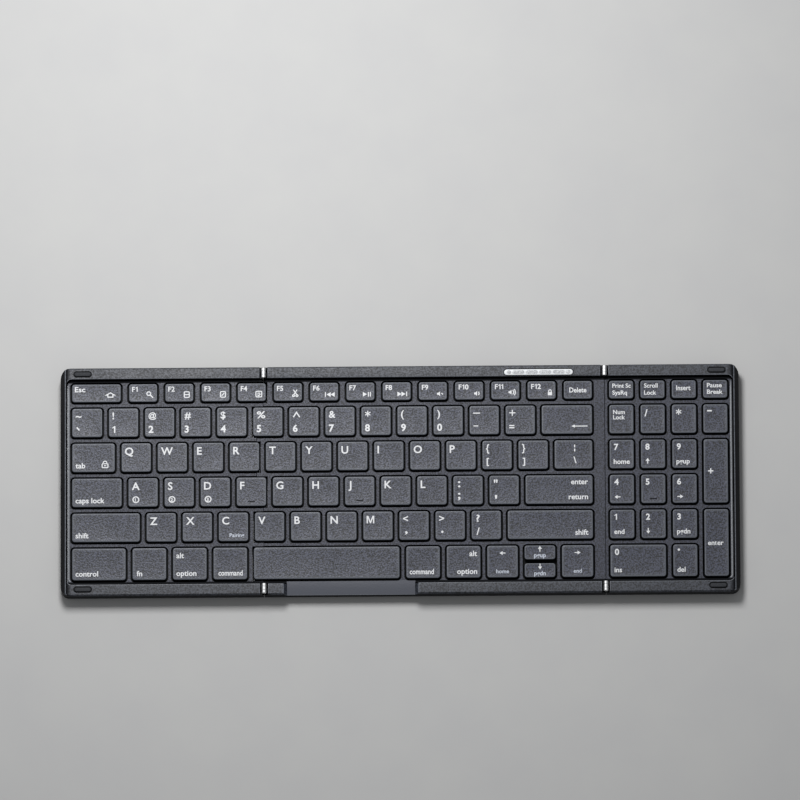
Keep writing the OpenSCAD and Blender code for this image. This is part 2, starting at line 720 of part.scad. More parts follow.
module battery() {
    color("#7f8890") translate([0, 0, floor_z + seat_gap / 2])
        linear_extrude(bay_h - 2 * seat_gap)
            rounded(battery_x - battery_l / 2, battery_y - battery_w / 2, battery_l,
                battery_w, battery_r);
}
module controller_board() {
    // [x, y, width, depth, height] from the middle of the board
    processor = [-8, -4, 7, 7, 0.5];
    radio = [3, -5, 9, 8, 0.6];
    connector = [-18, 2, 8, 2.5, 0.6];
    chips = [for (i = [0:4]) [-18 + 1.8 * i, -5, 1, 0.6, 0.4]];
    color("#1f5a3c") translate([board_x, board_y, floor_z + seat_gap]) {
        translate([-board_l / 2, -board_w / 2, 0]) cube([board_l, board_w, board_t]);
        for (c = concat([processor, radio, connector], chips))
            translate([c[0], c[1], board_t - e]) cube([c[2], c[3], c[4]]);
    }
}
module charging_socket() {
    inset = 0.3;
    tongue = [6.7, 0.7];
    l = tray_end - inset - seat_gap;
    color("#c9ccd0") translate([socket_x, body_d / 2 - inset, socket_z])
        rotate([90, 0, 0]) {
            difference() {
                linear_extrude(l) slot(socket_w, socket_h);
                translate([0, 0, -past]) linear_extrude(l)
                    slot(socket_w - 2 * socket_wall, socket_h - 2 * socket_wall);
            }
            translate([0, 0, 2 * socket_wall]) linear_extrude(l - past)
                square(tongue, center = true);
        }
}
module indicator_window() {
    color("#e4e8ea") translate([window_x, window_y, rim_z - window_t])
        linear_extrude(window_t) slot(window_l, window_w);
}
module ribbon(x) {
    translate([x - ribbon_l / 2, row_y(2) + (cap_w - ribbon_w) / 2, plate_z - ribbon_t])
        cube([ribbon_l, ribbon_w, ribbon_t]);
}
module left_ribbon_cable() { color("#c98a3a") ribbon(seam_x(2)); }
module right_ribbon_cable() { color("#c98a3a") ribbon(fold_right); }

module escape_key() { color("#6b6d72") key_caps(caps(0, 0, 0)); }
module left_function_keys() { color("#6b6d72") key_caps(wing_caps(0, 1)); }
module left_number_keys() { color("#6b6d72") key_caps(wing_caps(1)); }
module left_upper_keys() { color("#6b6d72") key_caps(wing_caps(2)); }
module left_home_keys() {
    color("#6b6d72") {
        key_caps(wing_caps(3));
        homing_bars(0, seam_key(3));
    }
}
module left_shift_key() { color("#6b6d72") key_caps(caps(4, 0, 0)); }
module left_lower_keys() { color("#6b6d72") key_caps(wing_caps(4, 1)); }
module left_bottom_keys() { color("#6b6d72") key_caps(wing_caps(5)); }
module middle_function_keys() {
    color("#6b6d72") key_caps(caps(0, seam_key(0) + 1, last(0)));
}
module middle_number_keys() {
    color("#6b6d72") key_caps(caps(1, seam_key(1) + 1, last(1) - 1));
}
module backspace_key() { color("#6b6d72") key_caps(caps(1, last(1), last(1))); }
module middle_upper_keys() {
    color("#6b6d72") key_caps(caps(2, seam_key(2) + 1, last(2)));
}
module middle_home_keys() {
    color("#6b6d72") {
        key_caps(caps(3, seam_key(3) + 1, last(3) - 1));
        homing_bars(seam_key(3) + 1, last(3));
    }
}
module enter_key() { color("#6b6d72") key_caps(caps(3, last(3), last(3))); }
module middle_lower_keys() {
    color("#6b6d72") key_caps(caps(4, seam_key(4) + 1, last(4) - 1));
}
module right_shift_key() { color("#6b6d72") key_caps(caps(4, last(4), last(4))); }
module space_bar() {
    color("#6b6d72") key_caps(caps(5, seam_key(5) + 1, seam_key(5) + 1));
}
module middle_bottom_keys() { color("#6b6d72") key_caps(arrow_caps); }
module pad_function_keys() { color("#6b6d72") key_caps(pad_rows[0]); }
module pad_number_keys() { color("#6b6d72") key_caps(pad_rows[1]); }
module pad_upper_keys() { color("#6b6d72") key_caps(pad_rows[2]); }
module pad_home_keys() {
    color("#6b6d72") {
        key_caps(pad_rows[3]);
        homing_bar(pad_rows[3][1]);
    }
}
module pad_lower_keys() { color("#6b6d72") key_caps(pad_rows[4]); }
module pad_bottom_keys() { color("#6b6d72") key_caps(pad_rows[5]); }

left_bottom_shell();
left_key_frame();
left_key_plate();
left_membrane();
left_domes();
left_scissors();
left_feet();
left_bumpers();
left_screws();
left_hinge_knuckles();
middle_bottom_shell();
middle_key_frame();
middle_key_plate();
middle_membrane();
middle_domes();
middle_scissors();
middle_feet();
middle_screws();
middle_hinge_knuckles();
hinge_pins();
controller_board();
battery();
charging_socket();
indicator_window();
left_ribbon_cable();
right_ribbon_cable();
right_bottom_shell();
right_key_frame();
right_key_plate();
right_membrane();
right_domes();
right_scissors();
right_feet();
right_bumpers();
right_screws();
right_hinge_knuckles();
escape_key();
left_function_keys();
left_number_keys();
left_upper_keys();
left_home_keys();
left_shift_key();
left_lower_keys();
left_bottom_keys();
middle_function_keys();
middle_number_keys();
backspace_key();
middle_upper_keys();
middle_home_keys();
enter_key();
middle_lower_keys();
right_shift_key();
middle_bottom_keys();
space_bar();
pad_function_keys();
pad_number_keys();
pad_upper_keys();
pad_home_keys();
pad_lower_keys();
pad_bottom_keys();
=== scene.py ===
# %% [markdown]
# A folding keyboard, dressed piece by piece
#
# This lesson takes the CAD model of a keyboard that folds in three and gives it
# the looks of the real one. The CAD model stays the fixed frame: it says where
# everything sits and how it moves. Every new piece is made from numbers in
# millimetres, in the same frame, so nothing is fitted by eye.

# %% Open the frame
import bpy
import bmesh
import json
import math
import re
import numpy as np
from mathutils import Matrix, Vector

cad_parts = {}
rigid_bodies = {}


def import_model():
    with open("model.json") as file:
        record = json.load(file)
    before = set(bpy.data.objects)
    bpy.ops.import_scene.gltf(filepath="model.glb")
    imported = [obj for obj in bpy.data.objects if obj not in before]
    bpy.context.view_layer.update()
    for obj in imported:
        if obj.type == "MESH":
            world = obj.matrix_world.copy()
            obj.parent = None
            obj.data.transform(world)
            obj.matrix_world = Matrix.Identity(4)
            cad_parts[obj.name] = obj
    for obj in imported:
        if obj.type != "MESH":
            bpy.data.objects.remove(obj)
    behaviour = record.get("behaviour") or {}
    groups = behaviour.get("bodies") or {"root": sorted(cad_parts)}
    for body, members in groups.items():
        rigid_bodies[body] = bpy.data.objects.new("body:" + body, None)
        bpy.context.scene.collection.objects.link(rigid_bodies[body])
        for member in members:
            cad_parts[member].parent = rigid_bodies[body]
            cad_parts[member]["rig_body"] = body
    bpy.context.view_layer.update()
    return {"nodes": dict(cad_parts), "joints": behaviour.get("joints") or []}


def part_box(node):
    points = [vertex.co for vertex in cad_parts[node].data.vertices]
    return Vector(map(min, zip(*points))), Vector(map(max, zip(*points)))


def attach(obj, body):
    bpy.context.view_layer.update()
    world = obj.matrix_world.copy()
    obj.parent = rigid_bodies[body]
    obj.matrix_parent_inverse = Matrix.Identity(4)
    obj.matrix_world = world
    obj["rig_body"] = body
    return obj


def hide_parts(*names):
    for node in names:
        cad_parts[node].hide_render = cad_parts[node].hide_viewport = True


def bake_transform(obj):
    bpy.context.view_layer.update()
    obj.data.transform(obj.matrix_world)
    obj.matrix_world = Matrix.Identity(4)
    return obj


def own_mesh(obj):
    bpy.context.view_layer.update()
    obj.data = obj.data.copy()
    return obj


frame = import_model()
MM = 0.001

# %% [markdown]
# The camera
#
# The photograph was taken from high above the front edge with a long lens, so
# the rows hardly converge. The angles, the distance and the focal length come
# from fitting the edges of the key caps. A camera could also be aimed with a
# Track To constraint, but a matrix built from the angles repeats the fit
# exactly. The keyboard lies below the middle of the picture, so the axis is
# turned until the aim point falls on its own pixel.

# %% Camera
elevation = math.radians(75.66)
azimuth = math.radians(2.008)
roll = math.radians(-2.359)
camera_distance = 8.695
focal_px = 17480.6
picture_px = 800
sensor_mm = 36
aim = np.array([0, 0, 0.007])
aim_px = np.array([400.03, 480.03])


def unit(vector):
    """The vector divided by its length."""
    return vector / np.linalg.norm(vector)


back = np.array([math.sin(azimuth) * math.cos(elevation),
                 -math.cos(azimuth) * math.cos(elevation), math.sin(elevation)])
level = np.array([math.cos(azimuth), math.sin(azimuth), 0])
rise = np.cross(back, level)
side = level * math.cos(roll) + rise * math.sin(roll)
top = rise * math.cos(roll) - level * math.sin(roll)
place = aim + back * camera_distance
off_axis = (aim_px - picture_px / 2) / focal_px
back = unit(back + side * off_axis[0] - top * off_axis[1])
side = unit(side - back * (side @ back))
top = np.cross(back, side)

camera = bpy.data.objects.new("camera", bpy.data.cameras.new("camera"))
bpy.context.scene.collection.objects.link(camera)
camera.data.sensor_width = sensor_mm
camera.data.lens = focal_px * sensor_mm / picture_px
camera.data.clip_start = 0.5
camera.data.clip_end = 40
turned = np.eye(4)
turned[:3, :4] = np.stack([side, top, back, place], -1)
camera.matrix_world = Matrix(turned)
bpy.context.scene.camera = camera
print("lens", round(camera.data.lens, 1), "mm from", np.round(place, 2).tolist())

# %% [markdown]
# Surfaces from numbers
#
# Blender can model with its own tools, but a keyboard is mostly repetition with
# exact sizes. So each shape here is a set of rings or a grid, worked out as
# arrays. A shape is a pair: its points in mm, and its faces as arrays with one
# face per row. Whether the faces point outwards can be tested: the volume
# enclosed by outward faces is positive.

# %% Rings and closed skins
def volume(points, faces):
    """Sum of a . (b x c) / 6 over the faces cut into fans of triangles abc."""
    total = 0.0
    for group in faces:
        fan = points[group]
        total += np.sum(fan[:, :1] * np.cross(fan[:, 1:-1], fan[:, 2:])) / 6
    return total


def outward(points, faces):
    """Turns all faces round where they enclose a negative volume."""
    if volume(points, faces) < 0:
        faces = [group[:, ::-1] for group in faces]
    return points, faces


def ring_quads(rows, cols):
    """Quads between neighbouring rings of a grid whose last column meets its first."""
    row = np.arange(rows - 1)[:, None] * cols
    col = np.arange(cols)
    following = (col + 1) % cols
    quads = [row + col, row + following, row + cols + following, row + cols + col]
    return np.stack(quads, -1).reshape(-1, 4)


def skin(rings):
    """A closed body over rings of equal length, with one face over each end."""
    rows, cols = rings.shape[:2]
    ends = [np.arange(cols)[None, ::-1], np.arange(cols)[None] + (rows - 1) * cols]
    return outward(rings.reshape(-1, 3), [ring_quads(rows, cols)] + ends)


def hoop(rings):
    """A closed body over rings whose last one meets the first, like a handle bent round."""
    rows, cols = rings.shape[:2]
    quads = ring_quads(rows + 1, cols) % (rows * cols)
    return outward(rings.reshape(-1, 3), [quads])


def joined(shapes):
    """Several shapes as one: the point numbers of each start after the last one's."""
    start = np.cumsum([0] + [len(points) for points, faces in shapes])
    faces = [group + first for (points, groups), first in zip(shapes, start)
             for group in groups]
    return np.concatenate([points for points, faces in shapes]), faces


print("a two by two by two test cube holds", volume(*skin(np.array([
    [[1, 1, z], [-1, 1, z], [-1, -1, z], [1, -1, z]] for z in (-1, 1)], float))))


# %% Outlines in the plane
def rounded_ring(half_w, half_d, r, cuts=(1, 1), steps=5):
    """A rectangle with quarter circles of radius r at its corners, run round
    anticlockwise from the right rear one, its sides cut into equal lengths."""
    turn = np.linspace(0, np.pi / 2, steps)
    corners = []
    for k, (sx, sy) in enumerate([(1, 1), (-1, 1), (-1, -1), (1, -1)]):
        angle = turn + k * np.pi / 2
        corners.append(np.stack([sx * (half_w - r) + r * np.cos(angle),
                                 sy * (half_d - r) + r * np.sin(angle)], -1))
    parts = []
    for k in range(4):
        t = np.linspace(0, 1, cuts[k % 2] + 1)[1:-1, None]
        start, end = corners[k][-1], corners[(k + 1) % 4][0]
        parts += [corners[k], start + t * (end - start)]
    return np.concatenate(parts)


def raised(outline, z):
    """An outline in the plane lifted to height z, which may vary along it."""
    return np.column_stack([outline, np.broadcast_to(z, len(outline))])


def lathe(profile, steps, centre=(0, 0, 0)):
    """Each (radius, height) of the profile runs round the upright axis:
    the point is radius cos a, radius sin a, height."""
    angle = np.linspace(0, 2 * np.pi, steps, endpoint=False)
    r, z = np.array(profile, float).T[:, :, None]
    rings = np.stack([r * np.cos(angle), r * np.sin(angle), z + 0 * angle], -1)
    return skin(rings + np.array(centre))


def block(x, y, z, w, d, h, edge=0.05):
    """A box from its lowest corner, its upright edges rounded and its top chamfered."""
    levels = [(0, 0), (0, h - edge), (edge, h)]
    rings = [raised(rounded_ring(w / 2 - i, d / 2 - i, 2 * edge, steps=3), z + up)
             for i, up in levels]
    return skin(np.stack(rings) + [x + w / 2, y + d / 2, 0])


# %% [markdown]
# From shape to piece
#
# One function turns a shape into an object. It stays at the origin with its
# place in its mesh, shades smooth with creases where faces meet at more than
# 35 degrees, takes its materials, and rides on the body that carries it.

# %% Make a piece
made = []


def piece(name, shape, materials, body, replaces=(), marks=None, which=None):
    """An object from a shape in mm. marks holds named values, one for each point, and
    which says for each face which of the materials it has."""
    points, faces = shape
    mesh = bpy.data.meshes.new(name)
    mesh.from_pydata((points * MM).tolist(), [],
                     [face for group in faces for face in group.tolist()])
    mesh.polygons.foreach_set("use_smooth", np.ones(len(mesh.polygons), bool))
    mesh.set_sharp_from_angle(angle=math.radians(35))
    for key, values in (marks or {}).items():
        mark = mesh.attributes.new(key, "FLOAT", "POINT")
        mark.data.foreach_set("value", np.asarray(values, np.float32))
    for material in materials:
        mesh.materials.append(material)
    if which is not None:
        mesh.polygons.foreach_set("material_index", np.asarray(which, np.int32))
    thing = bpy.data.objects.new(name, mesh)
    bpy.context.scene.collection.objects.link(thing)
    if body:
        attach(thing, body)
    if replaces:
        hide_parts(*replaces)
    made.append(thing)
    return thing


def corners_of(node):
    """Lowest and highest corner of a CAD node in mm."""
    return np.array(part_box(node)) / MM


rim_z = corners_of("left_bottom_shell")[1, 2]
web_z = corners_of("left_key_frame")[1, 2]
cap_low, cap_high = corners_of("space_bar")[:, 2]
print("rims end at", rim_z.round(2), "webs at", web_z.round(2), "caps at", cap_high.round(2))

# %% [markdown]
# Materials
#
# Every finish is a node tree on the Principled shader. Patterns are sized from
# the real ones: a noise of scale 1 / s on Object coordinates, in metres, has
# grains about s across. Colours are written as on a screen and turned into the
# linear values that the shader expects.

# %% Colours and nodes
def colour(code):
    """A hex colour as linear light: (c + 0.055) / 1.055 to the power 2.4."""
    c = np.array([int(code[k:k + 2], 16) for k in (1, 3, 5)]) / 255
    linear = np.where(c <= 0.04045, c / 12.92, ((c + 0.055) / 1.055) ** 2.4)
    return (*linear.tolist(), 1.0)


def fill(node, inputs):
    """Links each named input where the value is an output, and sets it where not."""
    live = {socket.name: socket for socket in node.inputs if socket.enabled}
    for key, value in inputs.items():
        socket = live[key] if isinstance(key, str) else node.inputs[key]
        if isinstance(value, bpy.types.NodeSocket):
            node.id_data.links.new(value, socket)
        else:
            socket.default_value = value


def add(tree, kind, inputs, out=0, **settings):
    """A shader node with its settings, its inputs filled; gives one of its outputs."""
    node = tree.nodes.new("ShaderNode" + kind)
    for key, value in settings.items():
        setattr(node, key, value)
    fill(node, inputs)
    return node.outputs[out]


def finish(name):
    """A new material with nodes: the material, its tree and its Principled shader."""
    material = bpy.data.materials.new(name)
    material.use_nodes = True
    return material, material.node_tree, material.node_tree.nodes["Principled BSDF"]


def mottle(tree, dark, light, size_mm, low=0.32, high=0.68, stretch=(1, 1, 1), detail=3):
    """Two colours that change over in a noise whose grains are size_mm across.
    Gives the noise and the colour."""
    spot = add(tree, "TexCoord", {}, out="Object")
    spot = add(tree, "Mapping", {"Vector": spot, "Scale": stretch})
    grain = add(tree, "TexNoise", {"Vector": spot, "Scale": 1 / (size_mm * MM),
                                   "Detail": detail, "Roughness": 0.6})
    share = add(tree, "MapRange", {"Value": grain, "From Min": low, "From Max": high})
    both = add(tree, "Mix", {"Factor": share, "A": colour(dark), "B": colour(light)},
               out=2, data_type="RGBA")
    return grain, both


print("ready:", [f.__name__ for f in (colour, fill, add, finish, mottle)])

# %% [markdown]
# Coated plastic
#
# Trays, webs and caps are ABS with a fine spark-eroded grain, and their upward
# faces are graphite grey. The grain breaks the reflection of a window into a
# sheen with sparkles. Walls and gaps are painted black: painted shade, which makes
# the crisp line round every cap. The real grain is about 0.1 mm; here it is drawn
# six times as coarse, because finer would not show in the picture.


# %% Coated plastic and painted shade
def graphite_coat(name, dark, light, grain_mm, depth_mm, rough):
    """Grain in colour, roughness and bump, and a broad unevenness in the sheen."""
    material, tree, shader = finish(name)
    grain, tone = mottle(tree, dark, light, grain_mm, 0.4, 0.6, detail=2)
    spot = add(tree, "TexCoord", {}, out="Object")
    broad = add(tree, "TexNoise", {"Vector": spot, "Scale": 1 / (14 * MM)})
    wide = add(tree, "MapRange", {"Value": broad, "From Min": 0.35, "From Max": 0.65,
                                  "To Min": rough - 0.03, "To Max": rough + 0.03})
    fine = add(tree, "MapRange", {"Value": grain, "From Min": 0.3, "From Max": 0.7,
                                  "To Min": 0.08, "To Max": -0.08})
    fill(shader, {"Base Color": tone,
                  "Roughness": add(tree, "Math", {0: wide, 1: fine}, operation="ADD"),
                  "Normal": add(tree, "Bump", {"Height": grain, "Distance": depth_mm * MM,
                                               "Strength": 1.0})})
    return material, tree, shader, tone


def darkened(tree, shader, tone, share, code):
    """Mixes a second colour over the tone by a share that varies over the surface, and
    takes the sheen away by the same share."""
    both = add(tree, "Mix", {"Factor": share, "A": tone, "B": colour(code)}, out=2,
               data_type="RGBA")
    tint = add(tree, "Mix", {"Factor": share, "A": colour("#ffffff"), "B": colour("#303030")},
               out=2, data_type="RGBA")
    fill(shader, {"Base Color": both, "Specular Tint": tint})


# Painted shade: a deep black with little sheen on walls, skirts, gaps and homing bars, where
# shade falls.
bare_abs, tree, shader = finish("bare_abs")
grain, tone = mottle(tree, "#111215", "#191a1d", 0.5)
fill(shader, {"Base Color": tone, "Roughness": 0.6, "Specular IOR Level": 0.15,
              "Normal": add(tree, "Bump", {"Height": grain, "Distance": 0.01 * MM})})

# Painted highlight on the chamfers of the rims and of the tongue's front edge: a paler,
# smoother coat.
highlight_edge_abs, tree, shader, tone = graphite_coat("rubbed_edge_abs", "#5c6068", "#7b7f87", 0.6,
                                             0.01, 0.42)

# The coat on the rims. Towards both ends it turns dark and loses its sheen.
rim_abs, tree, shader, tone = graphite_coat("rim_coated_abs", "#181a20", "#454953", 0.75,
                                            0.06, 0.46)
spot = add(tree, "TexCoord", {}, out="Object")
along = add(tree, "SeparateXYZ", {"Vector": spot}, out="X")
along = add(tree, "Math", {0: along}, operation="ABSOLUTE")
fade_from, fade_to = 163.4, 165.6
share = add(tree, "MapRange", {"Value": along, "From Min": fade_from * MM,
                               "From Max": fade_to * MM})
darkened(tree, shader, tone, share, "#141518")

# The coat on the caps: the brightest one. Its rounded edge is painted paler: a painted
# highlight.
cap_abs, tree, shader, tone = graphite_coat("cap_coated_abs", "#15171b", "#4b4f60", 0.75,
                                            0.11, 0.45)
rounded = add(tree, "Attribute", {}, attribute_name="edge")
tone = add(tree, "Mix", {"Factor": rounded, "A": tone, "B": colour("#5c6068")}, out=2,
           data_type="RGBA")
fill(shader, {"Base Color": tone})
print("plastics:", bare_abs.name, highlight_edge_abs.name, rim_abs.name, cap_abs.name)

# %% [markdown]
# Key caps
#
# A real cap is a thin moulded tray turned upside down: walls that lean in a
# little, a rounded edge, and a top that is dished by about a tenth of a
# millimetre so that a finger finds its middle. The caps could be copied from
# the CAD and bevelled, but the dish needs more faces than a flat top has. So
# each cap is lofted: the same rounded rectangle, drawn in and raised step by
# step from the inside, round the skirt and over the edge to the middle.
#
# The sizes are read from the CAD. Its caps lie side by side, so their
# triangles fall into groups whose spans along X, and then along Y, overlap.


# %% Find the caps
def spans(low, high, gap=0.2):
    """Numbers the groups of intervals that overlap: sorted by their lower ends, a
    new group starts wherever one begins past the furthest end so far."""
    order = np.argsort(low)
    reach = np.maximum.accumulate(high[order])
    fresh = np.r_[False, low[order][1:] > reach[:-1] + gap]
    group = np.empty(len(low), int)
    group[order] = np.cumsum(fresh)
    return group


def triangles(node):
    """The corners of a CAD node's triangles in mm: triangle, corner, axis."""
    mesh = frame["nodes"][node].data
    mesh.calc_loop_triangles()
    numbers = np.empty(len(mesh.loop_triangles) * 3, np.int32)
    mesh.loop_triangles.foreach_get("vertices", numbers)
    points = np.empty(len(mesh.vertices) * 3, np.float32)
    mesh.vertices.foreach_get("co", points)
    return points.reshape(-1, 3)[numbers].reshape(-1, 3, 3) / MM


def cap_places(node):
    """Middle and half sizes (x, y, half width, half depth) of a key node's caps,
    from left to right and then from rear to front."""
    corners = triangles(node)
    low, high = corners.min(1), corners.max(1)
    found = []
    column = spans(low[:, 0], high[:, 0])
    for c in range(column.max() + 1):
        inside = column == c
        line = spans(low[inside, 1], high[inside, 1])
        for k in range(line.max(), -1, -1):
            a = low[inside][line == k].min(0)
            b = high[inside][line == k].max(0)
            found.append([(a[0] + b[0]) / 2, (a[1] + b[1]) / 2,
                          (b[0] - a[0]) / 2, (b[1] - a[1]) / 2])
    return np.array(found)


key_nodes = [n for n in frame["nodes"] if n.endswith(("_key", "_keys", "space_bar"))]
key_caps = {node: cap_places(node) for node in sorted(key_nodes)}
keys_rear = (key_caps["escape_key"][:, 1] + key_caps["escape_key"][:, 3]).max()
keys_front = (key_caps["space_bar"][:, 1] - key_caps["space_bar"][:, 3]).min()
print(len(key_nodes), "key nodes with", sum(map(len, key_caps.values())), "caps")

# %% Loft a cap
cap_corner = 1.5
cap_lean = 0.3
cap_round = 0.34
cap_wall = 0.9
cap_roof = 0.8
dish_depth = 0.12
# Ring gaps of the cap's side, counted from the inside, that take the black of painted shade.
shade_rings = 6


def dish(x, y, half_w, half_d):
    """How far the top lies below its edge: deepest along the middle line, falling
    with the square of the way across and the sixth power of the way along."""
    along = np.clip(np.abs(x) / half_w, 0, 1)
    across = np.clip(np.abs(y) / half_d, 0, 1)
    return dish_depth * (1 - along ** 6) * (1 - across ** 2)


def top_sizes(half_w, half_d):
    """Half sizes of the dished part, inside the rounded edge."""
    return half_w - cap_lean - cap_round, half_d - cap_lean - cap_round


def cap_shape(x, y, half_w, half_d):
    """Rings of (inset, height) from the inner roof down the inner wall, under the
    skirt, up the leaning side, round a quarter circle and in over the dish."""
    height = cap_high - cap_low
    small = min(half_w, half_d)
    turn = np.linspace(0, np.pi / 2, 5)
    inset = [cap_wall + 0.1, cap_wall, 0.12, 0, cap_lean * 0.5]
    up = [height - cap_roof, 0, 0, 0.12, height * 0.5]
    inset += (cap_lean + cap_round * (1 - np.cos(turn))).tolist()
    up += (height - cap_round * (1 - np.sin(turn))).tolist()
    flat = len(inset)
    rest = small - cap_lean - cap_round
    inset += (cap_lean + cap_round
              + rest * np.array([0.07, 0.2, 0.38, 0.58, 0.78, 0.96])).tolist()
    up += [height] * 6
    cuts = (max(2, round(half_w / 2.5)), max(2, round(half_d / 2.5)))
    rings = []
    for k, (i, h) in enumerate(zip(inset, up)):
        r = max(cap_corner - 0.8 * i, 0.12 * (small - i) + 0.02)
        outline = rounded_ring(half_w - i, half_d - i, min(r, small - i), cuts)
        ring = raised(outline, cap_low + h)
        if k >= flat:
            ring[:, 2] -= dish(outline[:, 0], outline[:, 1], *top_sizes(half_w, half_d))
        rings.append(ring)
    rings = np.stack(rings)
    # Painted shade and highlight: the faces from the inner roof round the skirt and up the
    # lower rounded edge take the black, and the upper rounded edge is marked to be painted
    # paler.
    rounded = np.zeros(len(inset))
    rounded[shade_rings + 1:flat] = 1
    rounded[flat] = 0.35
    in_painted_shade = np.ones(len(inset) - 1)
    in_painted_shade[shade_rings:] = 0
    which = np.concatenate([np.repeat(in_painted_shade, rings.shape[1]), [1, 0]])
    return skin(rings + [x, y, 0]), np.repeat(rounded, rings.shape[1]), which


for node, caps in key_caps.items():
    shapes, marks, which = zip(*[cap_shape(*cap) for cap in caps])
    piece(node + "_caps", joined(shapes), [cap_abs, bare_abs], node,
          replaces=[node], marks={"edge": np.concatenate(marks)},
          which=np.concatenate(which))
print("caps made:", len(made), "pieces")

# %% [markdown]
# The trays and the webs
#
# The trays and the frames of webs round the caps are hard plastic with crisp
# edges, and their CAD shapes are right. Only the edges are too perfect: on the
# real one the rims' edges are chamfered and catch the light, and every other edge
# has a small radius. The CAD mesh is made of loose triangles, so a copy is merged
# first. Chosen edges get a wide chamfer in a paler colour, a painted highlight, a
# Bevel modifier rounds the rest, and a Weighted Normal modifier keeps the large
# faces flat to the eye. Faces that face down, stand upright or lie low get the
# black of painted shade.

# %% Web finish
# The webs carry a coat like the caps', a little darker and rougher, and they lie
# lower. Outside the rows they are painted black: painted shade, where the rims
# shade them. On the tongue in the finger notch they are painted paler instead: a
# painted highlight for the sheen that its forward tilt loses.
web_abs, tree, shader, tone = graphite_coat("web_coated_abs", "#14161e", "#3d4152", 0.75,
                                            0.05, 0.52)
spot = add(tree, "TexCoord", {}, out="Object")
to_front = add(tree, "SeparateXYZ", {"Vector": spot}, out="Y")
away = add(tree, "Math", {0: to_front}, operation="ABSOLUTE")
# Painted shade: the webs beyond the rows turn black and lose their sheen.
outside = add(tree, "MapRange", {"Value": away, "From Min": (keys_rear + 0.35) * MM,
                                 "From Max": (keys_rear + 0.6) * MM})
along = add(tree, "SeparateXYZ", {"Vector": spot}, out="X")
notch_x, notch_half = -24.58, 31.95
at_notch = add(tree, "Math", {0: along, 1: notch_x * MM, 2: notch_half * MM},
               operation="COMPARE")
at_front = add(tree, "Math", {0: to_front, 1: (keys_front - 0.35) * MM},
               operation="LESS_THAN")
on_tongue = add(tree, "Math", {0: at_notch, 1: at_front}, operation="MULTIPLY")
kept = add(tree, "Math", {0: outside, 1: on_tongue}, operation="SUBTRACT", use_clamp=True)
# Painted highlight: the tongue's grey is lifted to make up for the sheen its tilt loses.
tone = add(tree, "Mix", {"Factor": on_tongue, "A": tone, "B": colour("#4c4f59")}, out=2,
           data_type="RGBA")
darkened(tree, shader, tone, kept, "#1a1b1e")
print("webs are black beyond", round(keys_rear + 0.6, 2), "mm")


# %% Copy, chamfer and soften
def softened(node, materials, chosen, chamfer_mm, coat_z, round_mm=0.12):
    """A merged copy of a CAD node, cut along the middle of both rims so that no face
    has a hole. chosen(a, b) picks edges from their ends in mm, for a chamfer with the
    third material. Level faces above coat_z keep the first material, as slopes do that
    lie no lower than the webs. All other faces get the second."""
    source = frame["nodes"][node]
    mesh = source.data.copy()
    mesh.name = node + "_soft"
    work = bmesh.new()
    work.from_mesh(mesh)
    bmesh.ops.remove_doubles(work, verts=work.verts, dist=0.002 * MM)
    for y in (-rim_middle, rim_middle):
        whole = work.verts[:] + work.edges[:] + work.faces[:]
        cut = bmesh.ops.bisect_plane(work, geom=whole, dist=0.001 * MM,
                                     plane_co=(0, y * MM, 0), plane_no=(0, 1, 0))
        for part in cut["geom_cut"]:
            if isinstance(part, bmesh.types.BMEdge):
                part.seam = True
    bmesh.ops.dissolve_limit(work, angle_limit=math.radians(0.5), verts=work.verts,
                             edges=work.edges, delimit={"SEAM"})
    sharp = [e for e in work.edges
             if len(e.link_faces) == 2 and e.calc_face_angle() > math.radians(15)]
    wide = [e for e in sharp if chosen(*[np.array(v.co) / MM for v in e.verts])]
    bmesh.ops.bevel(work, geom=wide, offset=chamfer_mm * MM, offset_type="OFFSET",
                    segments=2, profile=0.5, affect="EDGES", clamp_overlap=True, material=2)
    work.to_mesh(mesh)
    work.free()
    count = len(mesh.polygons)
    facing, middle = np.empty(count * 3, np.float32), np.empty(count * 3, np.float32)
    mesh.polygons.foreach_get("normal", facing)
    mesh.polygons.foreach_get("center", middle)
    which = np.empty(count, np.int32)
    mesh.polygons.foreach_get("material_index", which)
    up, z = facing[2::3], middle[2::3] / MM
    # Faces outside this mask take the black of painted shade.
    keeps_grey = (up > 0.5) & ((z > coat_z) | (up < 0.95) & (z > web_z - 0.6))
    which[(which == 0) & ~keeps_grey] = 1
    mesh.materials.clear()
    for material in materials:
        mesh.materials.append(material)
    mesh.polygons.foreach_set("material_index", which)
    mesh.polygons.foreach_set("use_smooth", np.ones(count, bool))
    thing = bpy.data.objects.new(node + "_soft", mesh)
    bpy.context.scene.collection.objects.link(thing)
    rounding = thing.modifiers.new("rounding", "BEVEL")
    rounding.width = round_mm * MM
    rounding.segments = 2
    rounding.limit_method = "ANGLE"
    rounding.angle_limit = math.radians(35)
    flat = thing.modifiers.new("flat faces", "WEIGHTED_NORMAL")
    flat.keep_sharp = True
    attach(thing, source["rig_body"])
    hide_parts(node)
    made.append(thing)
    return len(wide)


pockets = [corners_of(node)[:, :2] for node in ("indicator_window",)]
for section in ("left", "right"):
    low, high = corners_of(section + "_bumpers")[:, :2]
    pockets += [np.array([[low[0], y - 2.5], [high[0], y + 2.5]])
                for y in (low[1] + 1.5, high[1] - 1.5)]
rim_middle = frame["joints"][0]["pos_m"][1] / MM
end_flat = -corners_of("left_bottom_shell")[0, 0] - 2.3
rim_out = corners_of("left_bottom_shell")[1, 1] - 0.7


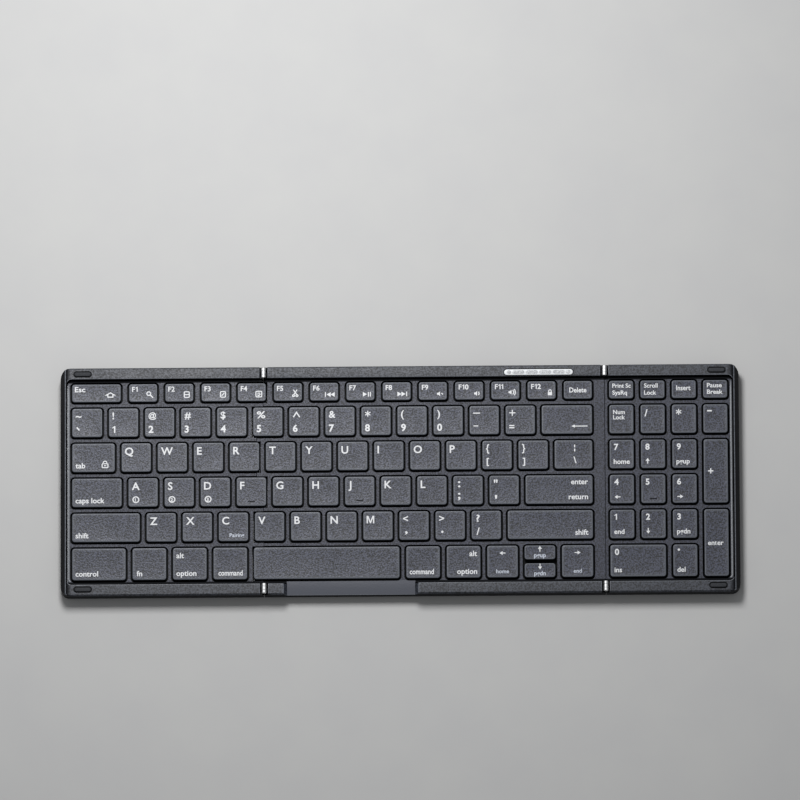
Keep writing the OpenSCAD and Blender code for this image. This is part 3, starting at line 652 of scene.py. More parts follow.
def rim_edge(a, b):
    """Edges of the rims' flat tops, except the outer front and rear ones, the inner
    ones at both ends, and those of the pockets."""
    middle = (a + b) / 2
    top = min(a[2], b[2]) > rim_z - 0.02
    outer = abs(middle[1]) > rim_out - 0.3 and abs(middle[0]) < end_flat - 4
    inner_end = end_flat - 0.9 < abs(middle[0]) < end_flat - 0.3 and abs(middle[1]) < 51
    pocket = any(np.all(middle[:2] > low - 0.4) and np.all(middle[:2] < high + 0.4)
                 for low, high in pockets)
    return top and not outer and not inner_end and not pocket


def tongue_edge(a, b):
    """The front edge of the tongue in the finger notch."""
    return max(a[1], b[1]) < -rim_out and min(a[2], b[2]) > web_z - 0.7


sections = ["left", "middle", "right"]
for section in sections:
    edges = softened(section + "_bottom_shell", [rim_abs, bare_abs, highlight_edge_abs],
                     rim_edge, 0.28, rim_z - 0.1)
    softened(section + "_key_frame", [web_abs, bare_abs, highlight_edge_abs],
             tongue_edge, 0.25, web_z - 0.6)
    print(section, "rim: chamfered edges", edges)

# %% [markdown]
# Legends
#
# The characters are printed in off-white ink. A texture would need an image,
# so each mark is a thin flat mesh laid on the dished top, a hundredth of a
# millimetre above it. Letters come from Blender's own font: a text curve,
# thickened a little, made a mesh once and reused. Arrows, speakers and the
# like are drawn from strokes: a path with a width. Only generic marks are
# drawn, so places that name systems on the real one stay bare.

# %% Ink and glyphs
# Pad-printed ink: matt off-white, a little uneven. The second ink is bluish.
ink, tree, shader = finish("pad_print_ink")
grain, tone = mottle(tree, "#e2e4e7", "#f4f5f6", 0.5)
fill(shader, {"Base Color": tone, "Roughness": 0.55})
blue_ink, tree, shader = finish("blue_pad_print_ink")
grain, tone = mottle(tree, "#b9c1d0", "#d0d6e0", 0.5)
fill(shader, {"Base Color": tone, "Roughness": 0.55})

letter_weight, figure_weight = 0.02, 0.03
one = np.array([(0.28, 0), (0.47, 0), (0.47, 1), (0.33, 1), (0.06, 0.8), (0.06, 0.63),
                (0.28, 0.78)])
em = np.array([(0, 0), (0.17, 0), (0.17, 0.7), (0.43, 0), (0.57, 0), (0.83, 0.7),
               (0.83, 0), (1, 0), (1, 1), (0.77, 1), (0.5, 0.28), (0.23, 1), (0, 1)])
drawn = {"1": one, "M": em}
letter_gap = 0.13
glyphs = {}


def from_font(text):
    """A run of characters of Blender's font as points and faces, not yet scaled."""
    curve = bpy.data.curves.new("glyph", "FONT")
    curve.body = text
    curve.offset = figure_weight if text[0].isdigit() else letter_weight
    curve.resolution_u = 3
    holder = bpy.data.objects.new("glyph", curve)
    bpy.context.scene.collection.objects.link(holder)
    seen = bpy.context.evaluated_depsgraph_get()
    mesh = bpy.data.meshes.new_from_object(holder.evaluated_get(seen))
    points = np.empty(len(mesh.vertices) * 3, np.float32)
    mesh.vertices.foreach_get("co", points)
    faces = [np.array([face.vertices[:]]) for face in mesh.polygons]
    bpy.data.objects.remove(holder)
    return points.reshape(-1, 3)[:, :2].astype(float), faces


capital = from_font("H")[0][:, 1].max()


def glyph(text):
    """A text with capitals 1 high. Its figure 1 and capital M are drawn here, because
    the font's 1 is a bare bar and its M breaks when thickened. The runs between
    them follow one after another."""
    if text not in glyphs:
        runs, pen = [], 0
        for run in re.findall("[1M]|[^1M]+", text):
            if run in drawn:
                points, faces = drawn[run], [np.arange(len(drawn[run]))[None]]
            else:
                points, faces = from_font(run)
                points = points / capital
            points = points + [pen - points[:, 0].min(), 0]
            pen = points[:, 0].max() + letter_gap
            runs.append((points, faces))
        glyphs[text] = joined(runs)
    return glyphs[text]


print("capitals are", round(capital, 3), "of the font size")


# %% Strokes and icons
def stroke(path, width, closed=False):
    """A line of that width along a path: each point moves to both sides along
    the sum of its neighbours' normals over 1 + their dot product."""
    path = np.array(path, float)
    ahead = np.roll(path, -1, 0) - path
    if not closed:
        ahead[-1] = ahead[-2]
    ahead /= np.linalg.norm(ahead, axis=1, keepdims=True)
    behind = np.roll(ahead, 1, 0)
    if not closed:
        behind[0] = ahead[0]
    both = ahead + behind
    mitre = np.stack([-both[:, 1], both[:, 0]], -1)
    mitre /= 1 + np.sum(ahead * behind, 1, keepdims=True)
    n = len(path)
    i = np.arange(n if closed else n - 1)
    j = (i + 1) % n
    points = np.concatenate([path + mitre * width / 2, path - mitre * width / 2])
    return points, [np.stack([i + n, j + n, j, i], -1)]


def filled(path):
    """A flat face inside an anticlockwise outline."""
    return np.array(path, float), [np.arange(len(path))[None]]


def bow(x, y, r, start, end, n=12):
    """Points on a circle round x, y from one angle to another, in degrees."""
    angle = np.radians(np.linspace(start, end, n))
    return np.stack([x + r * np.cos(angle), y + r * np.sin(angle)], -1)


thin = 0.48
triangle_left = np.array([(1.1, 1.2), (-0.9, 0), (1.1, -1.2)])
speaker = [(-1.5, -0.5), (-0.9, -0.5), (0, -1.2), (0, 1.2), (-0.9, 0.5), (-1.5, 0.5)]
page = rounded_ring(1.25, 1.45, 0.45, steps=3)
arrow_left = [stroke([(1.45, 0), (-0.4, 0)], thin),
              filled([(-1.5, 0), (0, -1), (0, 1)])]
icons = {
    "house": [stroke([(-1.95, 0), (0, 1.1), (1.95, 0), (1.25, 0), (1.25, -1.1),
                      (-1.25, -1.1), (-1.25, 0)], 0.5, closed=True)],
    "find": [stroke(bow(-0.5, 0.45, 0.95, 0, 345, 20), 0.5, closed=True),
             stroke([(0.2, -0.25), (1.65, -1.65)], 0.6)],
    "sheets": [stroke(page, thin, closed=True), stroke([(-1.2, 0), (1.2, 0)], thin)],
    "no_sheet": [stroke(page, thin, closed=True), stroke([(-0.7, -0.75), (0.7, 0.75)], thin)],
    "choose": [stroke(rounded_ring(1.45, 1.45, 0.45, steps=3), thin, closed=True),
               stroke([(-0.7, 0.5), (0.7, 0.5)], thin),
               stroke([(-0.7, -0.3), (-0.1, -0.85), (0.8, 0)], thin)],
    "cut": [stroke([(-0.95, 1.85), (0.7, -0.7)], thin), stroke([(0.95, 1.85), (-0.7, -0.7)],
                                                              thin),
            stroke(bow(-0.85, -1.25, 0.5, 0, 330), thin, closed=True),
            stroke(bow(0.85, -1.25, 0.5, 0, 330), thin, closed=True)],
    "previous": [filled(triangle_left + [-0.6, 0]), filled(triangle_left + [1.4, 0]),
                 stroke([(-2.1, -1.2), (-2.1, 1.2)], thin)],
    "play": [filled(-triangle_left + [-0.9, 0]), stroke([(0.75, -1.2), (0.75, 1.2)], 0.5),
             stroke([(1.75, -1.2), (1.75, 1.2)], 0.5)],
    "next": [filled(-triangle_left + [0.6, 0]), filled(-triangle_left + [-1.4, 0]),
             stroke([(2.1, -1.2), (2.1, 1.2)], thin)],
    "mute": [filled(speaker), stroke([(0.7, 0.35), (1.5, -0.4)], thin)],
    "quieter": [filled(speaker), stroke(bow(-0.2, 0, 1.2, -45, 45), thin)],
    "louder": [filled(speaker), stroke(bow(-0.3, 0, 1.35, -50, 50), thin),
               stroke(bow(-0.3, 0, 2.2, -45, 45), thin)],
    "lock": [filled(rounded_ring(1.05, 0.8, 0.2, steps=3) + [0, -0.7]),
             stroke(np.array([(0.65, 0), *bow(0, 0.65, 0.65, 0, 180), (-0.65, 0)]), thin)],
    "keep": [stroke(rounded_ring(1.45, 1.0, 0.3, steps=3) + [0, -0.65], thin, closed=True),
             stroke(np.array([(0.9, 0.3), *bow(0, 0.8, 0.9, 0, 180), (-0.9, 0.3)]), thin),
             stroke([(-0.5, -0.65), (0.5, -0.65)], thin)],
    "ring": [stroke(bow(0, 0, 1.45, 0, 345, 24), 0.55, closed=True)],
    "*": [stroke([(-1.5 * c, -1.5 * d), (1.5 * c, 1.5 * d)], thin)
          for c, d in ((0, 1), (0.87, 0.5), (0.87, -0.5))],
    "^": [stroke([(-1.6, -1.25), (0, 1.25), (1.6, -1.25)], 0.6)],
    "`": [stroke([(-0.65, 0.8), (0.65, -0.8)], 0.65)],
    "_": [stroke([(-1.75, 0), (1.75, 0)], 0.55)],
    "|": [stroke([(0, 1.75), (0, 0.35)], 0.6), stroke([(0, -0.35), (0, -1.75)], 0.6)],
    ".": [filled(bow(0, 0, 0.6, 0, 330, 12))],
    "-": [stroke([(-1.2, 0), (1.2, 0)], 0.5)],
    "+": [stroke([(-1.55, 0), (1.55, 0)], 0.52), stroke([(0, -1.55), (0, 1.55)], 0.52)],
    "left": arrow_left,
    "back": [stroke([(4, 0), (-2.5, 0)], thin),
             filled([(-4.1, 0), (-2.3, -0.8), (-2.3, 0.8)])],
}
for name, turns in (("up", -1), ("right", 2), ("down", 1)):
    cos, sin = round(math.cos(turns * math.pi / 2)), round(math.sin(turns * math.pi / 2))
    icons[name] = [(points @ np.array([[cos, sin], [-sin, cos]]), faces)
                   for points, faces in arrow_left]
print(len(icons), "icons")


# %% Place marks on caps
def mark(what, size=None, left=None, right=None, top=None, base=None, wide=1,
         blue=False):
    """A text with capitals of that size, or an icon at its own size, placed from the
    cap's left, right, rear or front edge, or else on its middle."""
    return dict(what=what, size=size, left=left, right=right, top=top, base=base,
                wide=wide, blue=blue)


ink_lift = 0.012


def placed(m, x, y, half_w, half_d):
    """The mark's flat shape moved onto a cap and laid on the dish."""
    if m["size"]:
        points, faces = glyph(m["what"])
        points = points * [m["size"] * m["wide"], m["size"]]
        low, high = 0, m["size"]
    else:
        points, faces = joined(icons[m["what"]])
        low, high = points[:, 1].min(), points[:, 1].max()
    first, final = points[:, 0].min(), points[:, 0].max()
    if m["left"] is not None:
        dx = m["left"] - half_w - first
    elif m["right"] is not None:
        dx = half_w - m["right"] - final
    else:
        dx = -(first + final) / 2
    if m["top"] is not None:
        dy = half_d - m["top"] - high
    elif m["base"] is not None:
        dy = m["base"] - half_d - low
    else:
        dy = -(low + high) / 2
    points = points + [dx, dy]
    drop = dish(points[:, 0], points[:, 1], *top_sizes(half_w, half_d))
    return raised(points + [x, y], cap_high - drop + ink_lift), faces


letter_size = 3.8
word_size = 2.7
small_size = 2.5


def letter(text):
    return [mark(text, letter_size, left=2.0, top=2.5)]


# Size, distance from the rear or front edge, width and distance from the left.
special = {"@": (2.8, 2.6, 1, 2.1), "%": (3.5, 2.3, 1.3, 2.1), "?": (3.5, 2.3, 1.35, 2.6),
           "^": (None, 2.4, 1, 2.1), "*": (None, 2.4, 1, 2.1), "_": (None, 3.75, 1, 2.1),
           "+": (None, 2.45, 1, 2.1), "`": (None, 3.6, 1, 2.4), "-": (None, 4.4, 1, 2.2),
           "[": (3.1, 3.0, 1, 2.4), "]": (3.1, 3.0, 1, 2.4), ":": (4.4, 1.6, 1.2, 2.6),
           ";": (4.4, 3.3, 1.2, 2.6), '"': (4.0, 2.5, 1.1, 2.5), "'": (4.6, 0.2, 1.3, 3),
           ",": (4.2, 3.9, 1.3, 3.1), ".": (None, 3.7, 1, 3.1), "/": (3.6, 2.7, 1, 2.7)}


def pair(above, below):
    """A symbol over a digit or another symbol, as on the digit row."""
    size, top, wide, left = special.get(above, (3.5, 2.3, 1, 2.1))
    upper = mark(above, size, left=left, top=top, wide=wide)
    size, base, wide, left = special.get(below, (3.5, 2.4, 1, 2.1))
    return [upper, mark(below, size, left=left, base=base, wide=wide)]


def word(text, **where_to):
    return [mark(text, word_size, **{"left": 2.0, "base": 2.3, **where_to})]


def function(number, icon):
    left = 1.8 if number < 10 else 2.1
    return [mark(f"F{number}", small_size, left=left, top=1.7),
            mark(icon, right=2.1, base=2.2)]


def pad_key(digit, below=None, arrow=None):
    marks = [mark(digit, 3.0 if digit.isdigit() else None, left=2.5, top=2.4)]
    if below:
        marks.append(mark(below, small_size, left=2.3, base=2.6))
    if arrow:
        marks.append(mark(arrow, left=2.6, base=2.6))
    return marks


legends = {
    "escape_key": [[mark("Esc", 2.6, left=1.7, top=1.6, wide=1.12),
                    mark("house", right=2.6, base=2.6)]],
    "left_function_keys": [function(1, "find"), function(2, "sheets"),
                           function(3, "no_sheet"), function(4, "choose")],
    "left_number_keys": [pair("~", "`"), pair("!", "1"), pair("@", "2"), pair("#", "3"),
                         pair("$", "4")],
    "left_upper_keys": [word("tab") + [mark("keep", right=3.5, base=2.3)]]
    + [letter(c) for c in "QWER"],
    "left_home_keys": [word("caps lock")]
    + [letter(c) + [mark("ring", left=2.3, base=2.2), mark(n, 1.7, left=3.3, base=2.95)]
       for c, n in zip("ASD", "123")] + [letter("F")],
    "left_shift_key": [word("shift")],
    "left_lower_keys": [letter("Z"), letter("X"),
                        letter("C") + [mark("Pairing", 1.95, right=2.2, base=2.4, blue=True)]],
    "left_bottom_keys": [word("control"), word("fn", left=2.4),
                         word("option") + [mark("alt", word_size, left=2.0, top=2.8)],
                         word("command", left=2.8, wide=0.8)],
    "middle_function_keys": [function(5, "cut"), function(6, "previous"),
                             function(7, "play"), function(8, "next"), function(9, "mute"),
                             function(10, "quieter"), function(11, "louder"),
                             function(12, "lock"), [mark("Delete", small_size, wide=0.9)]],
    "middle_number_keys": [pair(a, b) for a, b in zip("%^&*()_+", "567890-=")],
    "backspace_key": [[mark("back", right=2.6, base=3.4)]],
    "middle_upper_keys": [letter(c) for c in "TYUIOP"] + [pair("{", "["), pair("}", "]"),
                                                          [mark("|", left=10, top=2.6),
                                                           mark("\\", 3.3, left=9.7,
                                                                base=3.2)]],
    "middle_home_keys": [letter(c) for c in "GHJKL"] + [pair(":", ";"), pair('"', "'")],
    "enter_key": [[mark("enter", word_size, right=2.6, base=10.3),
                   mark("return", word_size, right=2.6, base=2.6)]],
    "middle_lower_keys": [letter(c) for c in "VBNM"] + [pair("<", ","), pair(">", "."),
                                                        pair("?", "/")],
    "right_shift_key": [word("shift", left=None, right=2.6)],
    "middle_bottom_keys": [
        word("command", wide=0.8),
        word("option", left=None, right=2.0)
        + [mark("alt", word_size, right=2.0, top=2.8)],
        [mark("left", top=3.1), mark("home", 2.0, base=2.5, blue=True)],
        [mark("up", top=0.6), mark("pgup", 2.2, base=1.4, blue=True)],
        [mark("down", top=0.5), mark("pgdn", 2.2, base=1.3, blue=True)],
        [mark("right", top=3.1), mark("end", 2.0, base=2.5, blue=True)]],
    "pad_function_keys": [
        [mark("Print Sc", 2.1, left=1.9, top=1.8), mark("SysRq", 2.1, left=1.9, base=2.3,
                                                      wide=1.05)],
        [mark("Scroll", 2.15, left=2.1, top=1.8), mark("Lock", 2.15, left=2.1, base=2.2)],
        [mark("Insert", small_size, left=2.5, top=2.9, wide=0.87)],
        [mark("Pause", 2.2, left=2.2, top=1.8, wide=1.06),
         mark("Break", 2.2, left=2.2, base=2.4, wide=1.06)]],
    "pad_number_keys": [
        [mark("Num", 2.1, left=2.2, top=2.9), mark("Lock", 2.1, left=2.2, top=5.6)],
        [mark("/", 3.5, left=2.2, top=2.7)], [mark("*", left=2.2, top=2.6)],
        [mark("-", 4.0, left=2.2, top=0.9, wide=1.45)]],
    "pad_upper_keys": [pad_key("7", "home"), pad_key("8", arrow="up"), pad_key("9", "pgup"),
                       [mark("+", 3.6, left=2.4)]],
    "pad_home_keys": [pad_key("4", arrow="left"), pad_key("5"), pad_key("6", arrow="right")],
    "pad_lower_keys": [pad_key("1", "end"), pad_key("2", arrow="down"),
                       pad_key("3", "pgdn"), [mark("enter", small_size, left=2.0)]],
    "pad_bottom_keys": [pad_key("0", "ins"), pad_key(".", "del")],
}
for node, marks in legends.items():
    for blue, material in ((False, ink), (True, blue_ink)):
        flat = [placed(m, *cap) for cap, on_cap in zip(key_caps[node], marks)
                for m in on_cap if m["blue"] == blue]
        if flat:
            piece(node + ("_blue_legends" if blue else "_legends"), joined(flat),
                  [material], node)
print("legends on", sum(len(marks) for marks in legends.values()), "caps")

# %% [markdown]
# Homing bars
#
# The two forefinger keys and the middle pad key carry a short raised bar near
# their front edge. It is a low ridge with rounded ends, on the same bodies. It is
# black: painted shade that stands for the shading along its relief.

# %% Homing bars
homing_bar_keys = {"left_home_keys": 4, "middle_home_keys": 2, "pad_home_keys": 1}
for node, place_in_row in homing_bar_keys.items():
    x, y, half_w, half_d = key_caps[node][place_in_row]
    rings = [raised(rounded_ring(1.8 - i, 0.25 - i, 0.24 - i, (4, 1), 4), cap_high + h)
             for i, h in ((0, -0.15), (0, 0.02), (0.06, 0.08), (0.15, 0.11))]
    # The bar is black, as painted shade.
    piece(node + "_homing_bar", skin(np.stack(rings) + [x, y + 2.65 - half_d, 0]),
          [bare_abs], node)
print("homing bars on", sorted(homing_bar_keys))

# %% [markdown]
# Rubber pads and feet
#
# Two soft pads on each wing keep the folded rims apart, and the feet under the
# trays stop the keyboard from sliding. Both are punched stadium shapes with a
# rounded edge, in dull rubber.


# %% Pads and feet
def stadium_pad(x, y, length, width, z_low, z_high, edge, up=1):
    """Stadium outlines that draw in along a quarter circle at the exposed side."""
    turn = np.linspace(0, np.pi / 2, 5)
    inset = [0, *(edge * (1 - np.cos(turn)))]
    level = [z_low, *(z_high - edge + edge * np.sin(turn))]
    if up < 0:
        level = [z_low + z_high - z for z in level]
    rings = [raised(rounded_ring(length / 2 - i, width / 2 - i, width / 2 - i - 0.01,
                                 (6, 1), 9), z) for i, z in zip(inset, level)]
    return skin(np.stack(rings) + [x, y, 0])


def islands(node):
    """Lowest and highest corners of a CAD node's separate solids, in mm."""
    corners = triangles(node)
    low, high = corners.min(1), corners.max(1)
    found = []
    column = spans(low[:, 0], high[:, 0])
    for c in range(column.max() + 1):
        inside = column == c
        line = spans(low[inside, 1], high[inside, 1])
        found += [(low[inside][line == k].min(0), high[inside][line == k].max(0))
                  for k in range(line.max() + 1)]
    return found


def pads(node, slack, edge, up=1):
    """A stadium pad in the place of each solid, smaller by the slack all round."""
    return joined([stadium_pad(*(a[:2] + b[:2]) / 2, *(b[:2] - a[:2] - 2 * slack), a[2],
                               b[2], edge, up) for a, b in islands(node)])


# Silicone rubber, compression moulded: dull, dark, without sparkle.
pad_rubber, tree, shader = finish("silicone_pad_rubber")
grain, tone = mottle(tree, "#292b2f", "#3b3d42", 0.7)
fill(shader, {"Base Color": tone, "Roughness": 0.72, "Specular IOR Level": 0.35,
              "Normal": add(tree, "Bump", {"Height": grain, "Distance": 0.01 * MM})})
bodies = {"left": "left_wing", "middle": "middle", "right": "right_wing"}
pocket_slack = 0.5
for section in ("left", "right"):
    node = section + "_bumpers"
    piece(node + "_rubber", pads(node, pocket_slack, 0.3), [pad_rubber], bodies[section],
          [node])
for section in sections:
    node = section + "_feet"
    piece(node + "_rubber", pads(node, 0, 0.3, up=-1), [pad_rubber], bodies[section],
          [node])
print("pads and feet:", made[-1].name, "is the last of 5")

# %% [markdown]
# Hinges
#
# In each rim notch a steel pin carries three knuckles: the outer two belong to
# the middle section and the inner one to the wing. Each knuckle is a turned
# barrel with a bore and chamfered ends, on a leaf that is let into the notch.
# Polished steel needs little colour: a slight brightness change along the
# turning marks is enough.

# %% Hinge steel
# Stainless steel, turned: bright, with fine rings from the tool that spread the
# highlight over the whole barrel. The leaves are steel coloured near black: painted
# shade for the shadow they lie in under the barrels, so they hardly show.
turned_steel, tree, shader = finish("turned_stainless_steel")
grain, tone = mottle(tree, "#eeeff0", "#fafafa", 0.5, stretch=(1, 5, 1))
rough = add(tree, "MapRange", {"Value": grain, "To Min": 0.46, "To Max": 0.6})
fill(shader, {"Base Color": tone, "Metallic": 1.0, "Roughness": rough})
leaf_shade_steel, tree, shader = finish("blackened_steel")
grain, tone = mottle(tree, "#050506", "#0b0b0c", 0.6)
fill(shader, {"Base Color": tone, "Roughness": 0.7, "Specular IOR Level": 0.15,
              "Normal": add(tree, "Bump", {"Height": grain, "Distance": 0.005 * MM})})

fold_x = {"left": frame["joints"][0]["pos_m"][0] / MM,
          "right": frame["joints"][1]["pos_m"][0] / MM}
axis_z = frame["joints"][0]["pos_m"][2] / MM
barrel_r = 1.1
bore_r = 0.52
knuckle_l = 1.4
middle_knuckle_l = 1.8
hinge_low, hinge_high = 52.845, 57.645
leaf = np.array([(0.15, -1.7), (1.95, -1.7), (1.95, -0.9), (1.05, -0.35), (0.15, -0.35)])


def laid_back(shape, x, y, z):
    """Turns an upright shape to lie along Y, (x, y, z) to (x, z, -y), and moves it."""
    points, faces = shape
    return np.stack([points[:, 0], points[:, 2], -points[:, 1]], -1) + [x, y, z], faces


def barrel(x, y, length):
    """A tube with chamfered ends: its outline of (radius, height) run round."""
    chamfer = 0.07
    outline = [(bore_r, 0), (barrel_r - chamfer, 0), (barrel_r, chamfer),
               (barrel_r, length - chamfer), (barrel_r - chamfer, length), (bore_r, length)]
    angle = np.linspace(0, 2 * np.pi, 40, endpoint=False)
    r, z = np.array(outline).T[:, :, None]
    rings = np.stack([r * np.cos(angle), r * np.sin(angle), z + 0 * angle], -1)
    return laid_back(hoop(rings), x, y, axis_z)


def leaf_shape(x, y, length, side_sign):
    """The leaf that holds a barrel on the left (-1) or right (1): its outline in
    the upright plane, carried along Y."""
    flat = leaf * [side_sign, 1]
    ends = [np.column_stack([flat[:, 0] + x, np.full(5, v), flat[:, 1] + axis_z])
            for v in (y + 0.02, y + length - 0.02)]
    return skin(np.stack(ends))


outer, inner = [], {"left": [], "right": []}
for section, x in fold_x.items():
    wing = -1 if section == "left" else 1
    for start in (hinge_low, -hinge_high):
        span = hinge_high - hinge_low
        outer += [(x, start, knuckle_l, -wing),
                  (x, start + span - knuckle_l, knuckle_l, -wing)]
        inner[section].append((x, start + (span - middle_knuckle_l) / 2,
                               middle_knuckle_l, wing))
for section, knuckles in (("middle", outer), *inner.items()):
    stands_for = [section + "_hinge_knuckles"]
    piece(section + "_barrels", joined([barrel(*k[:3]) for k in knuckles]), [turned_steel],
          bodies[section], stands_for)
    piece(section + "_leaves", joined([leaf_shape(*k) for k in knuckles]), [leaf_shade_steel],
          bodies[section], stands_for)
pin_profile = [(0.3, 0), (0.5, 0.12), (0.5, 4.68), (0.3, 4.8)]
pins = [laid_back(lathe(pin_profile, 24), x, start, axis_z) for x in fold_x.values()
        for start in (hinge_low, -hinge_high)]
piece("pins", joined(pins), [turned_steel], "middle", ["hinge_pins"])
print("knuckles:", len(outer) + 4, "and pins:", len(pins))

# %% [markdown]
# Indicator window
#
# A frosted strip lies flush in the rear rim, over the lights for charge and
# the paired devices. It is a stadium with a rounded edge. Below the frosted
# face the light guides show as four dashes between two dots.

# %% Indicator window
# Polycarbonate, moulded and frosted: white, soft, slightly see-through.
frosted, tree, shader = finish("frosted_polycarbonate")
grain, tone = mottle(tree, "#f0f1f2", "#fdfdfd", 0.5)
fill(shader, {"Base Color": tone, "Roughness": 0.4, "Subsurface Weight": 0.1})
# The light guides under the face: the same plastic, clear, over a dark board.
guide, tree, shader = finish("clear_polycarbonate_guide")
grain, tone = mottle(tree, "#9a9da1", "#dcdee0", 0.6, 0.38, 0.62)
fill(shader, {"Base Color": tone, "Roughness": 0.45})
low, high = corners_of("indicator_window")
window_x, window_y = (low[:2] + high[:2]) / 2
piece("indicator_strip", pads("indicator_window", 0.3, 0.3), [frosted], "middle",
      ["indicator_window"])
dash_l, dash_w, dot_l = 6.1, 2.0, 2.3
dashes = [(x, dash_l) for x in (-10.05, -3.35, 3.35, 10.05)] + [(-14.7, dot_l), (14.7, dot_l)]
piece("light_guides", joined([stadium_pad(window_x + x, window_y, l, dash_w, high[2] - 0.1,
                                          high[2] + 0.02, 0.03) for x, l in dashes]),
      [guide], "middle")
print("indicator strip", np.round(high - low, 1).tolist(), "mm")

# %% [markdown]
# Bright side strips
#
# Along both outer ends a narrow strip edges the key frame and bends round its
# corners. It is a half-round bead swept along that edge, coloured pale silver: a
# painted highlight for the light that the frame's edge catches there.

# %% Side strips
# The same ABS as the rims, coloured pale silver: a painted highlight.
pale_strip_abs, tree, shader = finish("silver_coated_abs")
grain, tone = mottle(tree, "#6a6e73", "#a0a3a8", 0.6)
fill(shader, {"Base Color": tone, "Roughness": 0.38,
              "Normal": add(tree, "Bump", {"Height": grain, "Distance": 0.02 * MM})})
strip_w, strip_h, strip_corner = 0.85, 0.16, 1.8


def strip(sign):
    """A half-round bead on the web's outer edge: from beside the rear row forward, and
    round a quarter circle at the front corner."""
    low, high = corners_of("right_key_frame")
    edge_x, r = high[0] - 0.06, strip_corner
    side_y = np.linspace(keys_rear, keys_front - 0.6 + r, 30)
    side = np.column_stack([np.full(30, edge_x), side_y])
    corner = bow(edge_x - r, keys_front - 0.6 + r, r, 0, -80, 10)
    path = np.concatenate([side, corner[1:]])
    ahead = np.gradient(path, axis=0)
    ahead /= np.linalg.norm(ahead, axis=1, keepdims=True)
    inward = np.stack([ahead[:, 1], -ahead[:, 0]], -1)
    turn = np.linspace(0, np.pi, 7)
    place_along = np.arange(len(path))
    taper = np.sqrt(np.clip(np.minimum(place_along, len(path) - 1 - place_along) / 2, 0.01, 1))
    over = strip_w * (0.5 - 0.5 * taper[:, None] * np.cos(turn))
    up = web_z - 0.02 + strip_h * taper[:, None] * np.sin(turn)
    rings = np.concatenate([path[:, None] + inward[:, None] * over[..., None],
                            up[..., None]], -1)
    return skin(rings * [sign, 1, 1])


for section, sign in (("left", -1), ("right", 1)):
    piece(section + "_side_strip", strip(sign), [pale_strip_abs], bodies[section])
print("side strips:", strip_w, "mm wide")

# %% [markdown]
# Inside
#
# The inner pieces show only through the gaps, when the keyboard is taken
# apart, or in a pose with a key pressed. They still get finishes of their own, and
# the membrane is black: painted shade for the deep gaps round the caps. A CAD
# node whose shape is right keeps it: its own material slots are refilled.

# %% Film and sheet steel
# Polyester film, coloured black as painted shade for the gaps round the caps, with a faint
# relief of silver traces.
shade_black_film, tree, shader = finish("printed_polyester_film")
spot = add(tree, "TexCoord", {}, out="Object")
along = add(tree, "SeparateXYZ", {"Vector": spot}, out="X")
trace_pitch = 1.9
phase = add(tree, "Math", {0: along, 1: 1 / (trace_pitch * MM)}, operation="MULTIPLY")
phase = add(tree, "Math", {0: phase}, operation="FRACT")
trace = add(tree, "Math", {0: phase, 1: 0.3}, operation="LESS_THAN")
field = add(tree, "TexNoise", {"Vector": spot, "Scale": 1 / (22 * MM)})
field = add(tree, "Math", {0: field, 1: 0.5}, operation="GREATER_THAN")
shown = add(tree, "Math", {0: trace, 1: field}, operation="MULTIPLY")
tone = add(tree, "Mix", {"Factor": shown, "A": colour("#08090a"), "B": colour("#121315")},
           out=2, data_type="RGBA")
fill(shader, {"Base Color": tone, "Roughness": 0.5, "Specular IOR Level": 0.12,
              "Normal": add(tree, "Bump", {"Height": shown, "Distance": 0.02 * MM})})

# Stainless sheet, cold rolled and stamped: grey, with fine streaks along the rows.
sheet_steel, tree, shader = finish("rolled_stainless_sheet")
grain, tone = mottle(tree, "#8d9094", "#b4b7ba", 0.9, stretch=(1, 14, 1), detail=4)
rough = add(tree, "MapRange", {"Value": grain, "To Min": 0.3, "To Max": 0.5})
fill(shader, {"Base Color": tone, "Metallic": 1.0, "Roughness": rough})

for section in sections:
    for node, material in (("membrane", shade_black_film), ("key_plate", sheet_steel)):
        slots = frame["nodes"][f"{section}_{node}"].data.materials
        slots.clear()
        slots.append(material)
print("films and plates:", 2 * len(sections))

# %% [markdown]
# Ribbon cables
#
# A flexible printed circuit carries the key matrix across each fold. It is a
# polyimide strip under a black cover film, with the copper tracks showing as
# faint ridges. It is a closed strip with many stations along X.

# %% Ribbons
ribbon_film, tree, shader = finish("covered_polyimide_film")
spot = add(tree, "TexCoord", {}, out="Object")
across = add(tree, "SeparateXYZ", {"Vector": spot}, out="Y")
track_pitch = 0.8
phase = add(tree, "Math", {0: across, 1: 2 * math.pi / (track_pitch * MM)},
            operation="MULTIPLY")
ridge = add(tree, "Math", {0: phase}, operation="SINE")
share = add(tree, "MapRange", {"Value": ridge, "From Min": -0.2, "From Max": 0.4})
tone = add(tree, "Mix", {"Factor": share, "A": colour("#08080a"), "B": colour("#1a1614")},
           out=2, data_type="RGBA")
fill(shader, {"Base Color": tone, "Roughness": 0.45, "Specular IOR Level": 0.25,
              "Normal": add(tree, "Bump", {"Height": ridge, "Distance": 0.02 * MM})})
for section, away in (("left", -1), ("right", 1)):
    low, high = corners_of(section + "_ribbon_cable")
    middle = (low + high) / 2
    outline = rounded_ring((high[1] - low[1]) / 2, (high[2] - low[2]) / 2, 0.04,
                           (10, 1), 3)
    stations = np.linspace(low[0], high[0], 73)
    rings = np.broadcast_to(outline + middle[1:], (73, len(outline), 2))
    rings = np.concatenate([np.broadcast_to(stations[:, None, None],
                                            (73, len(outline), 1)), rings], -1)
    ribbon = piece(section + "_ribbon", skin(rings), [ribbon_film], None,
                   [section + "_ribbon_cable"])
    if section == "left":
        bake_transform(ribbon)
    else:
        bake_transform(ribbon)

